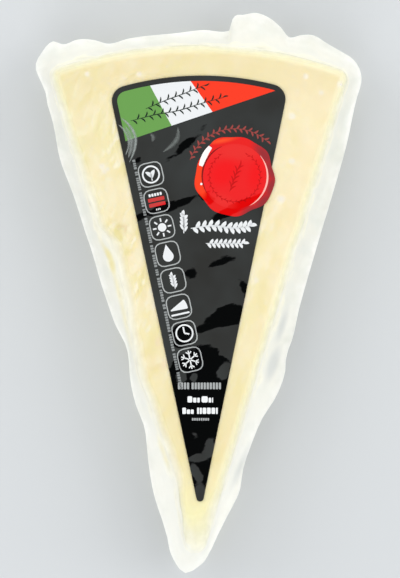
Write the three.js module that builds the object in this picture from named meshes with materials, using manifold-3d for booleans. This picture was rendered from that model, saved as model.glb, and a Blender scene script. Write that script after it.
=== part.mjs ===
// A wedge of hard grating cheese, vacuum packed: clear film shrunk tight over the cheese, a
// fused seam that stands out all round it, and a long printed label on the upper face.
// Millimetres, +Z up. The pack lies on its broad back face, with its tip towards -Y, its rind
// towards +Y and its label up. The origin is at the middle of its outline, on the surface it
// lies on.
import * as THREE from 'three';
import { mergeVertices } from 'three/addons/utils/BufferGeometryUtils.js';
import Module from 'manifold-3d';

const wasm = await Module();
wasm.setup();

// --- driving dimensions --------------------------------------------------------------------

const packHeight = 23.7; // the cheese's thickness, with the film on it

// The cheese: a wedge cut from a round, seen from above.
const cheese = {
  tip: new THREE.Vector2(-0.72, -67.66), // centre of the rounding at the tip
  opening: THREE.MathUtils.degToRad(33), // angle between the two cut sides
  turn: THREE.MathUtils.degToRad(-0.46), // the wedge's middle line, away from +Y
  rightLength: 131.5, // straight stretch of each cut side
  leftLength: 131.5,
  tipRound: 3,
  cornerRound: 3,
  endRadius: 120, // the rind
};

// The label: a narrower wedge, with a round badge that stands past its right edge.
const label = {
  tip: new THREE.Vector2(0.5, -55.6),
  opening: THREE.MathUtils.degToRad(23.72),
  turn: THREE.MathUtils.degToRad(0.21),
  rightLength: 109.7, // its long arc is a little askew
  leftLength: 109.4,
  tipRound: 0.95,
  cornerRound: 4.1,
  endRadius: 80,
};
const labelThick = 0.4;
const labelGap = 0.3; // between the film and the label's underside
const badge = { centre: new THREE.Vector2(9.95, 31.84), radius: 10.6 };

// The film over the wedge's edges: a quarter round, in a few flats.
const topEdge = { round: 2.8, flats: 3 };
const bottomEdge = { round: 2, flats: 2 };

// The seam: a thin rim of two films fused together, trimmed by hand and never even.
const seam = {
  height: 9, // middle of the rim above the back face
  thick: 0.8,
  rootAbove: 10.5, // stretch of wall over which the upper film leaves the cheese for the rim
  rootBelow: 6.4, // and the lower film
  waveTall: 0.8, // how far the rim's edge waves up and down
  waves: 8, // waves round the whole pack
  ripples: 19, // smaller ripples on top of them
  rippleShare: 0.5, // a ripple's height as a share of a wave's
  fullReach: 4, // a rim that reaches less than this waves less
};

// The rim's cross-section, from where it leaves the wall to its edge: how far out, as a share
// of the reach, and how far above or below the rim, as a share of the root's stretch of wall.
const seamSection = [[0, 1], [0.14, 0.57], [0.42, 0.18], [1, 0]];

// How far the rim reaches past the cheese: [distance along the stretch, reach], for each
// stretch of the cheese's outline in turn, anticlockwise.
const seamReach = {
  rightSide: [[0, 1.8], [8, 3], [17, 4.4], [22, 3.6], [30, 3.8], [38, 4.7], [43, 6.2],
    [49, 6.9], [53.5, 6.4], [55.5, 5.5], [58, 6], [70, 5.4], [90, 5.1], [115, 4.8], [130, 3.7]],
  rightCorner: [[1.7, 3.9]],
  rind: [[0, 4.4], [5, 5.5], [9.5, 6.7], [12.5, 5.9], [15.3, 4.7], [18, 6.9], [21, 8.8],
    [24.7, 9.8], [28, 8.9], [30, 8.4], [30.6, 7.4], [31.1, 4.5], [31.7, 4.1], [38, 4.1],
    [46, 3.3], [58, 3.1], [63.5, 2.7], [67, 4.5], [71, 5.7], [75, 5.5]],
  leftCorner: [[0, 7.2], [1.2, 5.7], [2.4, 5.2], [3.8, 3.2]],
  leftSide: [[6, 2.8], [12, 2.8], [21, 3.7], [32, 2.9], [46, 2.6], [62, 2.4], [69, 1.8],
    [74, 0.7], [78, 0.7], [84, 1.9], [91, 2.4], [98, 1.9], [106, 3.4], [116, 4.5], [126, 4.1]],
  tip: [[0, 4.4], [1.9, 5.3], [2.8, 6.5], [3.9, 4.6], [5, 3.1], [6.5, 1.8]],
};

// How finely an outline is divided: a step along its sides, a step along its end, and the
// turn of each step round a corner.
const sideStep = 2.9;
const endStep = 0.6;
const cornerTurn = THREE.MathUtils.degToRad(14);

// The broad flat that the pack lies on is a triangle this far inside the ends of its outline.
const restInset = 9;

// --- outlines ------------------------------------------------------------------------------

// A cut side on the right of the middle line: its two ends, and the centre of the corner's
// rounding.
function cutSide({ opening, tipRound, cornerRound }, length) {
  const half = opening / 2;
  const outward = new THREE.Vector2(Math.cos(half), -Math.sin(half));
  const start = outward.clone().multiplyScalar(tipRound);
  const end = new THREE.Vector2(Math.sin(half), Math.cos(half)).multiplyScalar(length).add(start);
  return { start, end, corner: end.clone().addScaledVector(outward, -cornerRound) };
}

// The centre of the long arc that touches both corner roundings.
function arcCentre({ endRadius, cornerRound }, rightCorner, leftCorner) {
  const chord = leftCorner.clone().sub(rightCorner);
  const drop = Math.sqrt((endRadius - cornerRound) ** 2 - chord.lengthSq() / 4);
  const inwards = new THREE.Vector2(-chord.y, chord.x).setLength(drop);
  return rightCorner.clone().lerp(leftCorner, 0.5).add(inwards);
}

// A wedge's outline as named curves, anticlockwise from the right end of its tip, each with
// the number of steps that it is divided into.
function wedgeCurves(wedge) {
  const half = wedge.opening / 2;
  const mirrored = (point) => new THREE.Vector2(-point.x, point.y);
  const right = cutSide(wedge, wedge.rightLength);
  const left = cutSide(wedge, wedge.leftLength);
  const leftCorner = mirrored(left.corner);
  const centre = arcCentre(wedge, right.corner, leftCorner);
  const rightAngle = right.corner.clone().sub(centre).angle();
  const leftAngle = leftCorner.clone().sub(centre).angle();
  const side = (name, from, to) => ({
    name,
    curve: new THREE.LineCurve(from, to),
    steps: Math.ceil(from.distanceTo(to) / sideStep),
  });
  const arc = (name, { x, y }, radius, from, to, turn) => ({
    name,
    curve: new THREE.EllipseCurve(x, y, radius, radius, from, to),
    steps: Math.ceil((to - from) / turn),
  });
  const round = wedge.cornerRound;
  const endTurn = endStep / wedge.endRadius;
  const tipCentre = new THREE.Vector2();
  return [
    side('rightSide', right.start, right.end),
    arc('rightCorner', right.corner, round, -half, rightAngle, cornerTurn),
    arc('rind', centre, wedge.endRadius, rightAngle, leftAngle, endTurn),
    arc('leftCorner', leftCorner, round, leftAngle, Math.PI + half, cornerTurn),
    side('leftSide', mirrored(left.end), mirrored(left.start)),
    arc('tip', tipCentre, wedge.tipRound, Math.PI + half, 2 * Math.PI - half, cornerTurn),
  ];
}

// A place in the wedge's own frame, its tip at zero and its middle line up, as one in the pack.
function placed(wedge, point) {
  return point.clone().rotateAround(new THREE.Vector2(), wedge.turn).add(wedge.tip);
}

// Stations round a wedge's outline: where each is, which way is out, and how far round it is.
function outlineStations(wedge) {
  const stations = [];
  const starts = {};
  let length = 0;
  for (const { name, curve, steps } of wedgeCurves(wedge)) {
    const stretch = curve.getLength();
    starts[name] = length;
    for (let i = 0; i < steps; i++) {
      const tangent = curve.getTangent(i / steps);
      stations.push({
        at: placed(wedge, curve.getPoint(i / steps)),
        out: new THREE.Vector2(tangent.y, -tangent.x).rotateAround(new THREE.Vector2(), wedge.turn),
        along: length + (stretch * i) / steps,
      });
    }
    length += stretch;
  }
  return { stations, starts, length };
}

// --- the seam ------------------------------------------------------------------------------

// The rim's reach as a smooth function of the distance round the outline, joined at its ends.
function reachFunction({ starts, length }) {
  const stops = Object.entries(seamReach).flatMap(([name, pairs]) =>
    pairs.map(([along, reach]) => [starts[name] + along, reach]));
  const [lastAlong, lastReach] = stops.at(-1);
  const [firstAlong, firstReach] = stops[0];
  const joined = [
    [lastAlong - length, lastReach],
    ...stops,
    [firstAlong + length, firstReach],
  ];
  const curve = new THREE.CubicInterpolant(
    joined.map(([along]) => along),
    joined.map(([, reach]) => reach),
    1,
  );
  return (along) => curve.evaluate(along)[0];
}

// How far the rim's edge stands above its middle height.
function rimWave(along, length, reach) {
  const turn = (2 * Math.PI * along) / length;
  const shape = Math.sin(seam.waves * turn) + seam.rippleShare * Math.sin(seam.ripples * turn + 1);
  return seam.waveTall * shape * Math.min(1, reach / seam.fullReach);
}

// --- the sealed pack -----------------------------------------------------------------------

// A quarter round as [distance inside the outline, distance from the face], starting on the
// face.
function quarterRound({ round, flats }) {
  return Array.from({ length: flats + 1 }, (_, i) => {
    const angle = (Math.PI / 2) * (i / flats);
    return [round * (1 - Math.sin(angle)), round * (1 - Math.cos(angle))];
  });
}

// The pack's cross-section, from the back face up to the upper face:
// [distance past the cheese's outline, height].
function packSection(reach, wave) {
  const rim = (upOrDown, root) => seamSection.map(([out, tall]) => [
    reach * out,
    seam.height + wave * out + upOrDown * (seam.thick / 2 + root * tall),
  ]);
  return [
    ...quarterRound(bottomEdge).map(([inside, up]) => [-inside, up]),
    ...rim(-1, seam.rootBelow),
    ...rim(1, seam.rootAbove).reverse(),
    ...quarterRound(topEdge).reverse().map(([inside, down]) => [-inside, packHeight - down]),
  ];
}

// The rings of points round the pack, one for each point of the cross-section.
function packRings({ stations, length }, reachAt) {
  const sections = stations.map(({ along }) => {
    const reach = reachAt(along);
    return packSection(reach, rimWave(along, length, reach));
  });
  return sections[0].map((_, ring) => stations.map(({ at, out }, i) => {
    const [past, height] = sections[i][ring];
    return new THREE.Vector3(at.x + out.x * past, at.y + out.y * past, height);
  }));
}

// The corners of the triangle that the pack lies on, anticlockwise from above.
function restCorners() {
  const half = cheese.opening / 2;
  const far = cheese.rightLength - restInset;
  return [
    new THREE.Vector2(0, restInset),
    new THREE.Vector2(far * Math.sin(half), far * Math.cos(half)),
    new THREE.Vector2(-far * Math.sin(half), far * Math.cos(half)),
  ].map((corner) => placed(cheese, corner));
}

function sealedPackGeometry() {
  const outline = outlineStations(cheese);
  const rings = packRings(outline, reachFunction(outline));
  const count = outline.stations.length;
  const points = rings.flat();
  const indices = [];

  for (let low = 0; low < (rings.length - 1) * count; low += count) {
    const high = low + count;
    for (let i = 0; i < count; i++) {
      const next = (i + 1) % count;
      indices.push(low + i, low + next, high + next, low + i, high + next, high + i);
    }
  }

  const rest = restCorners();
  const restStart = points.length;
  points.push(...rest.map(({ x, y }) => new THREE.Vector3(x, y, 0)));
  indices.push(restStart, restStart + 2, restStart + 1);
  const backIndex = (i) => (i < count ? i : restStart + i - count);
  for (const face of THREE.ShapeUtils.triangulateShape(rings[0], [rest])) {
    indices.push(...face.reverse().map(backIndex));
  }

  const topStart = (rings.length - 1) * count;
  for (const face of THREE.ShapeUtils.triangulateShape(rings.at(-1), [])) {
    indices.push(...face.map((i) => topStart + i));
  }

  const geometry = new THREE.BufferGeometry().setFromPoints(points);
  geometry.setIndex(indices);
  geometry.computeVertexNormals();
  return geometry;
}

// --- the label -----------------------------------------------------------------------------

function toManifold(geometry) {
  const bare = geometry.clone();
  bare.deleteAttribute('normal');
  bare.deleteAttribute('uv');
  const merged = mergeVertices(bare);
  return new wasm.Manifold(new wasm.Mesh({
    numProp: 3,
    vertProperties: merged.attributes.position.array,
    triVerts: Uint32Array.from(merged.index.array),
  }));
}

function fromManifold(solid) {
  const mesh = solid.getMesh();
  const geometry = new THREE.BufferGeometry();
  geometry.setAttribute('position', new THREE.Float32BufferAttribute(mesh.vertProperties, 3));
  geometry.setIndex(Array.from(mesh.triVerts));
  geometry.computeVertexNormals();
  return geometry;
}

function labelGeometry() {
  const sheet = { depth: labelThick, bevelEnabled: false, curveSegments: 32 };
  const wedge = new THREE.Shape(outlineStations(label).stations.map(({ at }) => at));
  const round = new THREE.Shape();
  round.absarc(badge.centre.x, badge.centre.y, badge.radius, 0, 2 * Math.PI);
  const [wedgeSolid, roundSolid] = [wedge, round].map((shape) =>
    toManifold(new THREE.ExtrudeGeometry(shape, sheet)));
  return fromManifold(wedgeSolid.add(roundSolid));
}

// --- the whole pack ------------------------------------------------------------------------

function piece(name, geometry, color, roughness) {
  const material = new THREE.MeshStandardMaterial({ color, roughness, metalness: 0 });
  const mesh = new THREE.Mesh(geometry, material);
  mesh.name = name;
  return mesh;
}

const pack = new THREE.Group();
pack.add(piece('sealed_pack', sealedPackGeometry(), '#f6edb4', 0.25));
const printedLabel = piece('printed_label', labelGeometry(), '#2e302f', 0.2);
printedLabel.position.z = packHeight + labelGap;
pack.add(printedLabel);

export default pack;
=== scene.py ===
# %% [markdown]
# # A wedge of hard grating cheese in clear film
#
# The pack is a wedge of pale straw-coloured cheese. Clear film is shrunk tight over it, and the
# film's fused seam stands out all round as a thin wavy rim. A long black label lies on the
# broad upper face. The CAD frame gives the size and place of the pack and of the label. Each
# step below makes one piece or one finish, first in words and then in code.

import math
import random
from dataclasses import dataclass, replace

import bmesh
import bpy
from mathutils import Color, Matrix, Vector, noise
from mathutils.bvhtree import BVHTree


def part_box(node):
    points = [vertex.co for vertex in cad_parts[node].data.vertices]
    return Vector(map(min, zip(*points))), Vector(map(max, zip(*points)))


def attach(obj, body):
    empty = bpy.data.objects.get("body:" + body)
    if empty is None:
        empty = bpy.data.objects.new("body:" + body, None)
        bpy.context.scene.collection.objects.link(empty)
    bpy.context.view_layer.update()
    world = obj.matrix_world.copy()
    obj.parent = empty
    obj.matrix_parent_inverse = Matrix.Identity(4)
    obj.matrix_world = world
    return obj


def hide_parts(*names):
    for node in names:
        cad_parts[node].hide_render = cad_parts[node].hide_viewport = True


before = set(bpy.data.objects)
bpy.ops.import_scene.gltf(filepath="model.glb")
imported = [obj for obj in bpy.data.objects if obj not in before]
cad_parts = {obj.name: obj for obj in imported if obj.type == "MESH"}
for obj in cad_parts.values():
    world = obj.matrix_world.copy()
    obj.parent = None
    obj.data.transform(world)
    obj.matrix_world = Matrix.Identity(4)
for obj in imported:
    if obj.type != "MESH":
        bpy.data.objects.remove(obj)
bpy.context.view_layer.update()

MM = 0.001  # one millimetre in metres
PACK_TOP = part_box("sealed_pack")[1].z
print("pack height in mm:", round(PACK_TOP / MM, 2))

# %% [markdown]
# ## The camera
#
# The pack is seen from straight above, with its tip down. A long lens from two metres away
# keeps the view almost parallel, so the sides of the pack stay hidden, as on a scanner. The
# frame is 400 x 578, and one picture element is 0.272 mm at the height of the pack's shoulder.

# %% Camera
PICTURE_HEIGHT = 578
ELEMENT = 0.272 * MM  # size of one picture element on the pack
SHOULDER = 16 * MM  # height at which that size holds
VIEW_CENTRE = (0.49 * MM, 1.06 * MM)
CAMERA_RISE = 2.0
SENSOR = 36.0
FARTHEST_SEEN = 20.0

camera_data = bpy.data.cameras.new("camera")
camera_data.sensor_width = SENSOR
camera_data.lens = SENSOR * CAMERA_RISE / (PICTURE_HEIGHT * ELEMENT)
camera_data.clip_end = FARTHEST_SEEN
camera = bpy.data.objects.new("camera", camera_data)
camera.location = (*VIEW_CENTRE, SHOULDER + CAMERA_RISE)
bpy.context.scene.collection.objects.link(camera)
bpy.context.scene.camera = camera
print("lens in mm:", round(camera_data.lens))

# %% [markdown]
# ## Colours and nodes
#
# Colours are written as they are picked on a screen, in sRGB, and Blender mixes light in linear
# values, so one function turns the one into the other. A second small function adds any node,
# with its settings and with what feeds its inputs. The others start a material, feed the inputs
# of a node that is there already, and give a colour ramp its tones.


# %% Helpers for colours and nodes
def linear(hex_colour):
    """An sRGB colour such as "#f6edb4" as linear red, green, blue and alpha."""
    parts = [int(hex_colour[i : i + 2], 16) / 255 for i in (1, 3, 5)]
    return (*Color(parts).from_srgb_to_scene_linear(), 1.0)


def feed(tree, node, feeds):
    """Feed a node's inputs, by name or number or in their order. A feed is a value, a hex colour,
    a socket, or a node, which stands for its first output."""
    if not isinstance(feeds, dict):
        feeds = dict(enumerate(feeds))
    for name, value in feeds.items():
        if isinstance(value, bpy.types.Node):
            value = value.outputs[0]
        if isinstance(value, bpy.types.NodeSocket):
            tree.links.new(value, node.inputs[name])
        else:
            node.inputs[name].default_value = linear(value) if isinstance(value, str) else value


def add(tree, kind, feeds=(), **settings):
    """Add a node with its settings and with what feeds its inputs."""
    node = tree.nodes.new(kind)
    for name, value in settings.items():
        setattr(node, name, value)
    feed(tree, node, feeds)
    return node


def start_finish(name):
    """Start a material, and give it with its node tree and its main shader."""
    finish = bpy.data.materials.new(name)
    finish.use_nodes = True
    return finish, finish.node_tree, finish.node_tree.nodes["Principled BSDF"]


def set_tones(ramp_node, tones):
    """Give a colour ramp its tones, each a position and a colour, from first to last."""
    elements = ramp_node.color_ramp.elements
    for element, (position, tone) in zip(elements, (tones[0], tones[-1])):
        element.position = position
        element.color = linear(tone)
    for position, tone in tones[1:-1]:
        elements.new(position).color = linear(tone)


# %% [markdown]
# ## Floor and light
#
# The floor is plain pale grey, so that the white rim of the film stands out from it. The light
# is that of a small product studio: large soft boxes low round the pack, and little light from
# straight above. A glossy sheet that faces the camera mirrors what is behind the camera, so a
# dark ceiling keeps the black label black.

# %% Floor
FLOOR_HALF = 8.0

shape = bmesh.new()
bmesh.ops.create_grid(shape, x_segments=1, y_segments=1, size=FLOOR_HALF)
floor_mesh = bpy.data.meshes.new("floor")
shape.to_mesh(floor_mesh)
shape.free()
floor = bpy.data.objects.new("floor", floor_mesh)
bpy.context.scene.collection.objects.link(floor)

painted_floor, tree, paint = start_finish("painted_floor")
feed(tree, paint, {"Base Color": "#d3d5d6", "Roughness": 0.9, "Specular IOR Level": 0.1})
floor_mesh.materials.append(painted_floor)
print("side of the floor in metres:", 2 * FLOOR_HALF)

# %% Soft boxes
BOX_SIZE = 1.3
BOX_WATTS = 8.2
BOX_PLACES = {
    "left_box": (-1.47, 0.75, 0.92),
    "right_box": (1.45, 0.35, 0.9),
    "back_box": (0.15, 1.95, 0.98),
    "front_box": (-0.2, -1.65, 0.86),
}

for name, place in BOX_PLACES.items():
    box_light = bpy.data.lights.new(name, "AREA")
    box_light.shape = "SQUARE"
    box_light.size = BOX_SIZE
    box_light.energy = BOX_WATTS
    box = bpy.data.objects.new(name, box_light)
    box.location = place
    box.rotation_euler = (-Vector(place)).to_track_quat("-Z", "Y").to_euler()
    box.visible_camera = False
    bpy.context.scene.collection.objects.link(box)
print("soft boxes:", len(BOX_PLACES), "of", BOX_WATTS, "W")

# %% Surroundings, dark overhead and pale all round
SKY_TONES = ((0.86, "#e6e9ec"), (0.965, "#1d1f20"))  # by the share upwards of a direction
WORLD_STRENGTH = 1.13

world = bpy.data.worlds.new("studio")
world.use_nodes = True
scene = bpy.context.scene
scene.world = world
sky = world.node_tree
direction = add(sky, "ShaderNodeTexCoord").outputs["Generated"]
upward = add(sky, "ShaderNodeSeparateXYZ", (direction,)).outputs["Z"]
ceiling = add(sky, "ShaderNodeValToRGB", (upward,))
set_tones(ceiling, SKY_TONES)
feed(sky, sky.nodes["Background"], {"Color": ceiling, "Strength": WORLD_STRENGTH})
scene.view_settings.view_transform = "Standard"
scene.cycles.use_denoising = True
print("tones of the surroundings:", len(SKY_TONES))

# %% [markdown]
# ## The outline of a wedge
#
# Seen from above, the cheese, its film and its label are all wedges with rounded corners: two
# straight sides, a small round at the tip, two rounded corners and a long shallow arc. Spin
# draws such an outline as a pen does. Spin without an angle but with a step pulls a vertex
# along a straight line, and spin with an angle swings it round a centre. So the whole outline
# needs only the sizes that a cutter would name, and it stays even and clean.


# %% Wedges
@dataclass
class Wedge:
    """A wedge with its tip towards -Y. Its own frame has the tip's centre at zero."""

    tip: tuple  # centre of the rounding at the tip
    opening: float  # angle between the sides
    turn: float  # its middle line, away from +Y
    right_side: float  # straight stretch of each side
    left_side: float
    tip_round: float
    corner_round: float
    end_radius: float

    def grown(self, by):
        """The same wedge with its whole outline moved outwards."""
        return replace(
            self,
            tip_round=self.tip_round + by,
            corner_round=self.corner_round + by,
            end_radius=self.end_radius + by,
        )

    def corner(self, side):
        """Centre of a corner's rounding in the wedge's frame: side 1 is right, and -1 left."""
        half = self.opening / 2
        outward = Vector((math.cos(half), -math.sin(half), 0))
        along = Vector((math.sin(half), math.cos(half), 0))
        length = self.right_side if side > 0 else self.left_side
        corner = outward * (self.tip_round - self.corner_round) + along * length
        corner.x *= side
        return corner

    def end_centre(self):
        """Centre of the long arc, which touches the roundings of both corners."""
        right, left = self.corner(1), self.corner(-1)
        chord = left - right
        reach = self.end_radius - self.corner_round
        drop = math.sqrt(reach**2 - chord.length_squared / 4)
        return (right + left) / 2 + Vector((-chord.y, chord.x, 0)).normalized() * drop

    def to_pack(self):
        return Matrix.Translation((*self.tip, 0)) @ Matrix.Rotation(self.turn, 4, "Z")

    def depths(self, x, y):
        """How far inside its sides, and inside its long arc, a point of the pack is."""
        point = self.to_pack().inverted() @ Vector((x, y, 0))
        half = self.opening / 2
        sides = self.tip_round + point.y * math.sin(half) - abs(point.x) * math.cos(half)
        return sides, self.end_radius - (point - self.end_centre()).length

    def depth(self, x, y):
        """How far inside the outline a point of the pack is."""
        return min(self.depths(x, y))


CHEESE = Wedge(
    tip=(-0.72 * MM, -67.66 * MM),
    opening=math.radians(33),
    turn=math.radians(-0.46),
    right_side=131.5 * MM,
    left_side=131.5 * MM,
    tip_round=3 * MM,
    corner_round=3 * MM,
    end_radius=120 * MM,
)
LABEL = Wedge(
    tip=(0.5 * MM, -55.6 * MM),
    opening=math.radians(23.72),
    turn=math.radians(0.21),
    right_side=109.7 * MM,
    left_side=109.4 * MM,
    tip_round=0.95 * MM,
    corner_round=4.1 * MM,
    end_radius=80 * MM,
)
for what, wedge in (("cheese", CHEESE), ("label", LABEL)):
    print(what, "opens by", round(math.degrees(wedge.opening), 1), "degrees")


# %% Draw an outline with spin
UP = Vector((0, 0, 1))
FEWEST_STEPS = 7  # on a rounded corner


def pull(shape, pen, way, step):
    """Draw a straight line from the pen's vertex, and give the vertex at its end."""
    steps = max(1, round(way.length / step))
    drawn = bmesh.ops.spin(shape, geom=[pen], cent=(0, 0, 0), axis=UP, dvec=way / steps, steps=steps)
    return drawn["geom_last"][0]


def swing(shape, pen, centre, angle, step):
    """Draw an arc from the pen's vertex, and give the vertex at its end."""
    steps = max(FEWEST_STEPS, round((pen.co - centre).length * angle / step))
    drawn = bmesh.ops.spin(shape, geom=[pen], cent=centre, axis=UP, angle=angle, steps=steps)
    return drawn["geom_last"][0]


def draw_wedge(shape, wedge, step):
    """Draw a closed outline, anticlockwise from the right end of the tip."""
    half = wedge.opening / 2
    outward = Vector((math.cos(half), -math.sin(half), 0))
    right_way = Vector((math.sin(half), math.cos(half), 0)) * wedge.right_side
    left_way = Vector((math.sin(half), -math.cos(half), 0)) * wedge.left_side
    right, left = wedge.corner(1), wedge.corner(-1)
    centre = wedge.end_centre()
    right_angle = math.atan2(right.y - centre.y, right.x - centre.x)
    left_angle = math.atan2(left.y - centre.y, left.x - centre.x)

    older = set(shape.verts)
    first = bmesh.ops.create_vert(shape, co=outward * wedge.tip_round)["vert"][0]
    pen = pull(shape, first, right_way, step)
    pen = swing(shape, pen, right, right_angle + half, step)
    pen = swing(shape, pen, centre, left_angle - right_angle, step)
    pen = swing(shape, pen, left, math.pi + half - left_angle, step)
    pen = pull(shape, pen, left_way, step)
    pen = swing(shape, pen, Vector(), math.pi - 2 * half, step)
    bmesh.ops.weld_verts(shape, targetmap={pen: first})
    drawn = [vertex for vertex in shape.verts if vertex not in older]
    bmesh.ops.transform(shape, matrix=wedge.to_pack(), verts=drawn)


# %% [markdown]
# ## From an outline to a solid
#
# The cheese and the film are the same kind of form: a section, such as a rounded edge or a rim,
# that runs round the outline, closed by a broad face above and below. Extruding the outline
# ring by ring, and moving each new ring to the next point of the section, gives full control
# of the section at each place. The broad faces are filled with one big face and cut into small
# squares with bisect, so that they can take dents and waves as evenly as clay.


# %% Stations round an outline
@dataclass
class Station:
    at: Vector
    out: Vector  # the way out of the pack


def stations_of(ring):
    """Where each vertex of an outline is, and which way is out there."""
    stations = []
    for i, vertex in enumerate(ring):
        way = (ring[(i + 1) % len(ring)].co - ring[i - 1].co).normalized()
        stations.append(Station(vertex.co.copy(), Vector((way.y, -way.x, 0))))
    return stations


# %% Extrude an outline along a section
def grow(shape, ring_edges):
    """Extrude a ring once, and give the new ring's vertices and edges."""
    grown = bmesh.ops.extrude_edge_only(shape, edges=ring_edges)["geom"]
    vertices = [part for part in grown if isinstance(part, bmesh.types.BMVert)]
    edges = [part for part in grown if isinstance(part, bmesh.types.BMEdge)]
    ring = set(vertices)
    return vertices, [edge for edge in edges if ring.issuperset(edge.verts)]


def wrap(wedge, step, section, layer_name):
    """A closed form whose section runs round a wedge. section(station) gives its points from the
    lower face to the upper one: distance past the outline, height and layer value."""
    shape = bmesh.new()
    station_number = shape.verts.layers.int.new("station")
    layer = shape.verts.layers.float.new(layer_name)
    draw_wedge(shape, wedge, step)
    ring = shape.verts[:]
    stations = stations_of(ring)
    for i, vertex in enumerate(ring):
        vertex[station_number] = i
    sections = [section(station) for station in stations]

    def place(vertices, k):
        for vertex in vertices:
            station = stations[vertex[station_number]]
            past, height, value = sections[vertex[station_number]][k]
            vertex.co = station.at + station.out * past
            vertex.co.z = height
            vertex[layer] = value

    edges = shape.edges[:]
    lower_edges = edges
    place(ring, 0)
    for k in range(1, len(sections[0])):
        vertices, edges = grow(shape, edges)
        place(vertices, k)
    lower = bmesh.ops.edgeloop_fill(shape, edges=lower_edges)["faces"]
    upper = bmesh.ops.edgeloop_fill(shape, edges=edges)["faces"]
    return shape, lower, upper


# %% Cut a flat face into small squares
SAME_PLACE = 1e-4 * MM


def cut_squares(shape, faces, cell):
    """Cut flat faces along lines of constant x, then of constant y."""
    for axis, way in enumerate((Vector((1, 0, 0)), Vector((0, 1, 0)))):
        spots = [vertex.co[axis] for face in faces for vertex in face.verts]
        ahead, done = faces, []
        for line in range(math.floor(min(spots) / cell) + 1, math.ceil(max(spots) / cell)):
            # the keys of a dict hold each face, edge and vertex once, in the order of the faces
            parts = dict.fromkeys(part for face in ahead for part in (face, *face.edges, *face.verts))
            cut = bmesh.ops.bisect_plane(
                shape,
                geom=list(parts),
                dist=SAME_PLACE,
                plane_co=way * line * cell,
                plane_no=way,
            )
            faces = [part for part in cut["geom"] if isinstance(part, bmesh.types.BMFace)]
            ahead = [face for face in faces if face.calc_center_bounds()[axis] > line * cell]
            done += [face for face in faces if face.calc_center_bounds()[axis] <= line * cell]
        faces = done + ahead
    return faces


# %% Make a piece of the pack
SHARP_FROM = math.radians(40)


def make_piece(name, shape, finish, node):
    """Turn a bmesh into a piece that rides on the pack and stands for a CAD node."""
    bmesh.ops.recalc_face_normals(shape, faces=shape.faces)
    mesh = bpy.data.meshes.new(name)
    shape.to_mesh(mesh)
    shape.free()
    mesh.shade_smooth()
    mesh.set_sharp_from_angle(angle=SHARP_FROM)
    mesh.materials.append(finish)
    piece = bpy.data.objects.new(name, mesh)
    bpy.context.scene.collection.objects.link(piece)
    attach(piece, "root")
    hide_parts(node)
    triangles = sum(len(face.vertices) - 2 for face in mesh.polygons)
    print(f"{name}: {triangles} triangles")
    return piece


# %% [markdown]
# ## The uneven upper face
#
# No cut through hard cheese is flat. The wire wanders, so the face waves by a few tenths of a
# millimetre, and the film follows it. Where the film had too much width it folded into low
# creases, which run down the pack. One function gives the height of the film at any place, and
# the cheese, the film, the label and the print all use it, so they stay on each other.


# %% Waves and creases of the upper face
FACE = PACK_TOP
FACE_DROP = 0.32 * MM  # the middle height of the face, below its highest spots
SLOW_WAVE = (19 * MM, 0.2 * MM)  # size and height
QUICK_WAVE = (4.5 * MM, 0.05 * MM)
LABEL_EASE = 1.5 * MM  # the quick waves end over this far on both sides of the label's edge


@dataclass
class Crease:
    route: tuple  # points in millimetres
    width: float
    height: float
    # haze is the white of the folded film, and along most creases also a painted highlight
    haze: float  # how white the folded film is

    def strength(self, x, y):
        """1 on the crease, falling softly to 0 beside it and at its ends."""
        spot = Vector((x, y)) / MM
        nearest = 1e9
        for start, end in zip(self.route, self.route[1:]):
            start, end = Vector(start), Vector(end)
            way = end - start
            share = min(1.0, max(0.0, (spot - start).dot(way) / way.length_squared))
            nearest = min(nearest, (start + way * share - spot).length)
        return math.exp(-((nearest / self.width) ** 2))


# the haze of most creases also paints the highlight that they catch
CREASES = (
    Crease(((-17.2, -30.0), (-10.4, -42.0), (-5.8, -53.0)), 0.9, 0.08, 0.3),
    Crease(((17.3, -15.0), (19.0, -13.6)), 0.45, 0.1, 0.5),
    Crease(((19.6, -6.0), (15.6, -23.0), (11.4, -40.0)), 0.6, 0.06, 0.22),
    Crease(((22.4, 25.4), (24.3, 15.7)), 0.8, 0.05, 0.25),
)


def smooth(low, high, value):
    """0 at low, 1 at high and an even rise between."""
    share = min(1.0, max(0.0, (value - low) / (high - low)))
    return share * share * (3 - 2 * share)


def slow_height(x, y):
    """Height of the film's slow waves, which the stiff label follows too."""
    size, height = SLOW_WAVE
    return FACE - FACE_DROP + height * noise.noise(Vector((x, y, 0)) / size)


def face_height(x, y):
    """Height of the film, with its quick waves and creases, which stay off the label."""
    size, height = QUICK_WAVE
    quick = height * noise.noise(Vector((x, y, size)) / size)
    creased = sum(crease.height * MM * crease.strength(x, y) for crease in CREASES)
    bare = 1 - smooth(-LABEL_EASE, LABEL_EASE, LABEL.depth(x, y))
    return slow_height(x, y) + (quick + creased) * bare


def crease_haze_and_highlight(x, y):
    return max(crease.haze * crease.strength(x, y) for crease in CREASES)


# %% [markdown]
# ## The rim, measured on the frame
#
# The seam was trimmed by hand and has no rule, but the CAD solid has its outline. Rays from
# above find how far the rim reaches past the cheese at each place and how high it lies there.
# Halving the search distance each time finds the edge in a few rays.

# %% Measure the rim
FARTHEST_RIM = 13 * MM
HALVINGS = 11
CAD_RIM_THICK = 0.8 * MM

cad_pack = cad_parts["sealed_pack"]
cad_tree = BVHTree.FromObject(cad_pack, bpy.context.evaluated_depsgraph_get())
print("triangles of the CAD pack:", len(cad_pack.data.polygons))


def rim_at(station):
    """How far the rim reaches at a station, and the height of the middle of its edge."""
    inside, outside = 0.0, FARTHEST_RIM
    height = 0.0
    for _ in range(HALVINGS):
        middle = (inside + outside) / 2
        spot = station.at + station.out * middle
        hit = cad_tree.ray_cast(Vector((spot.x, spot.y, 2 * FACE)), -UP)[0]
        if hit:
            inside, height = middle, hit.z
        else:
            outside = middle
    return inside, height - CAD_RIM_THICK / 2


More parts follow.
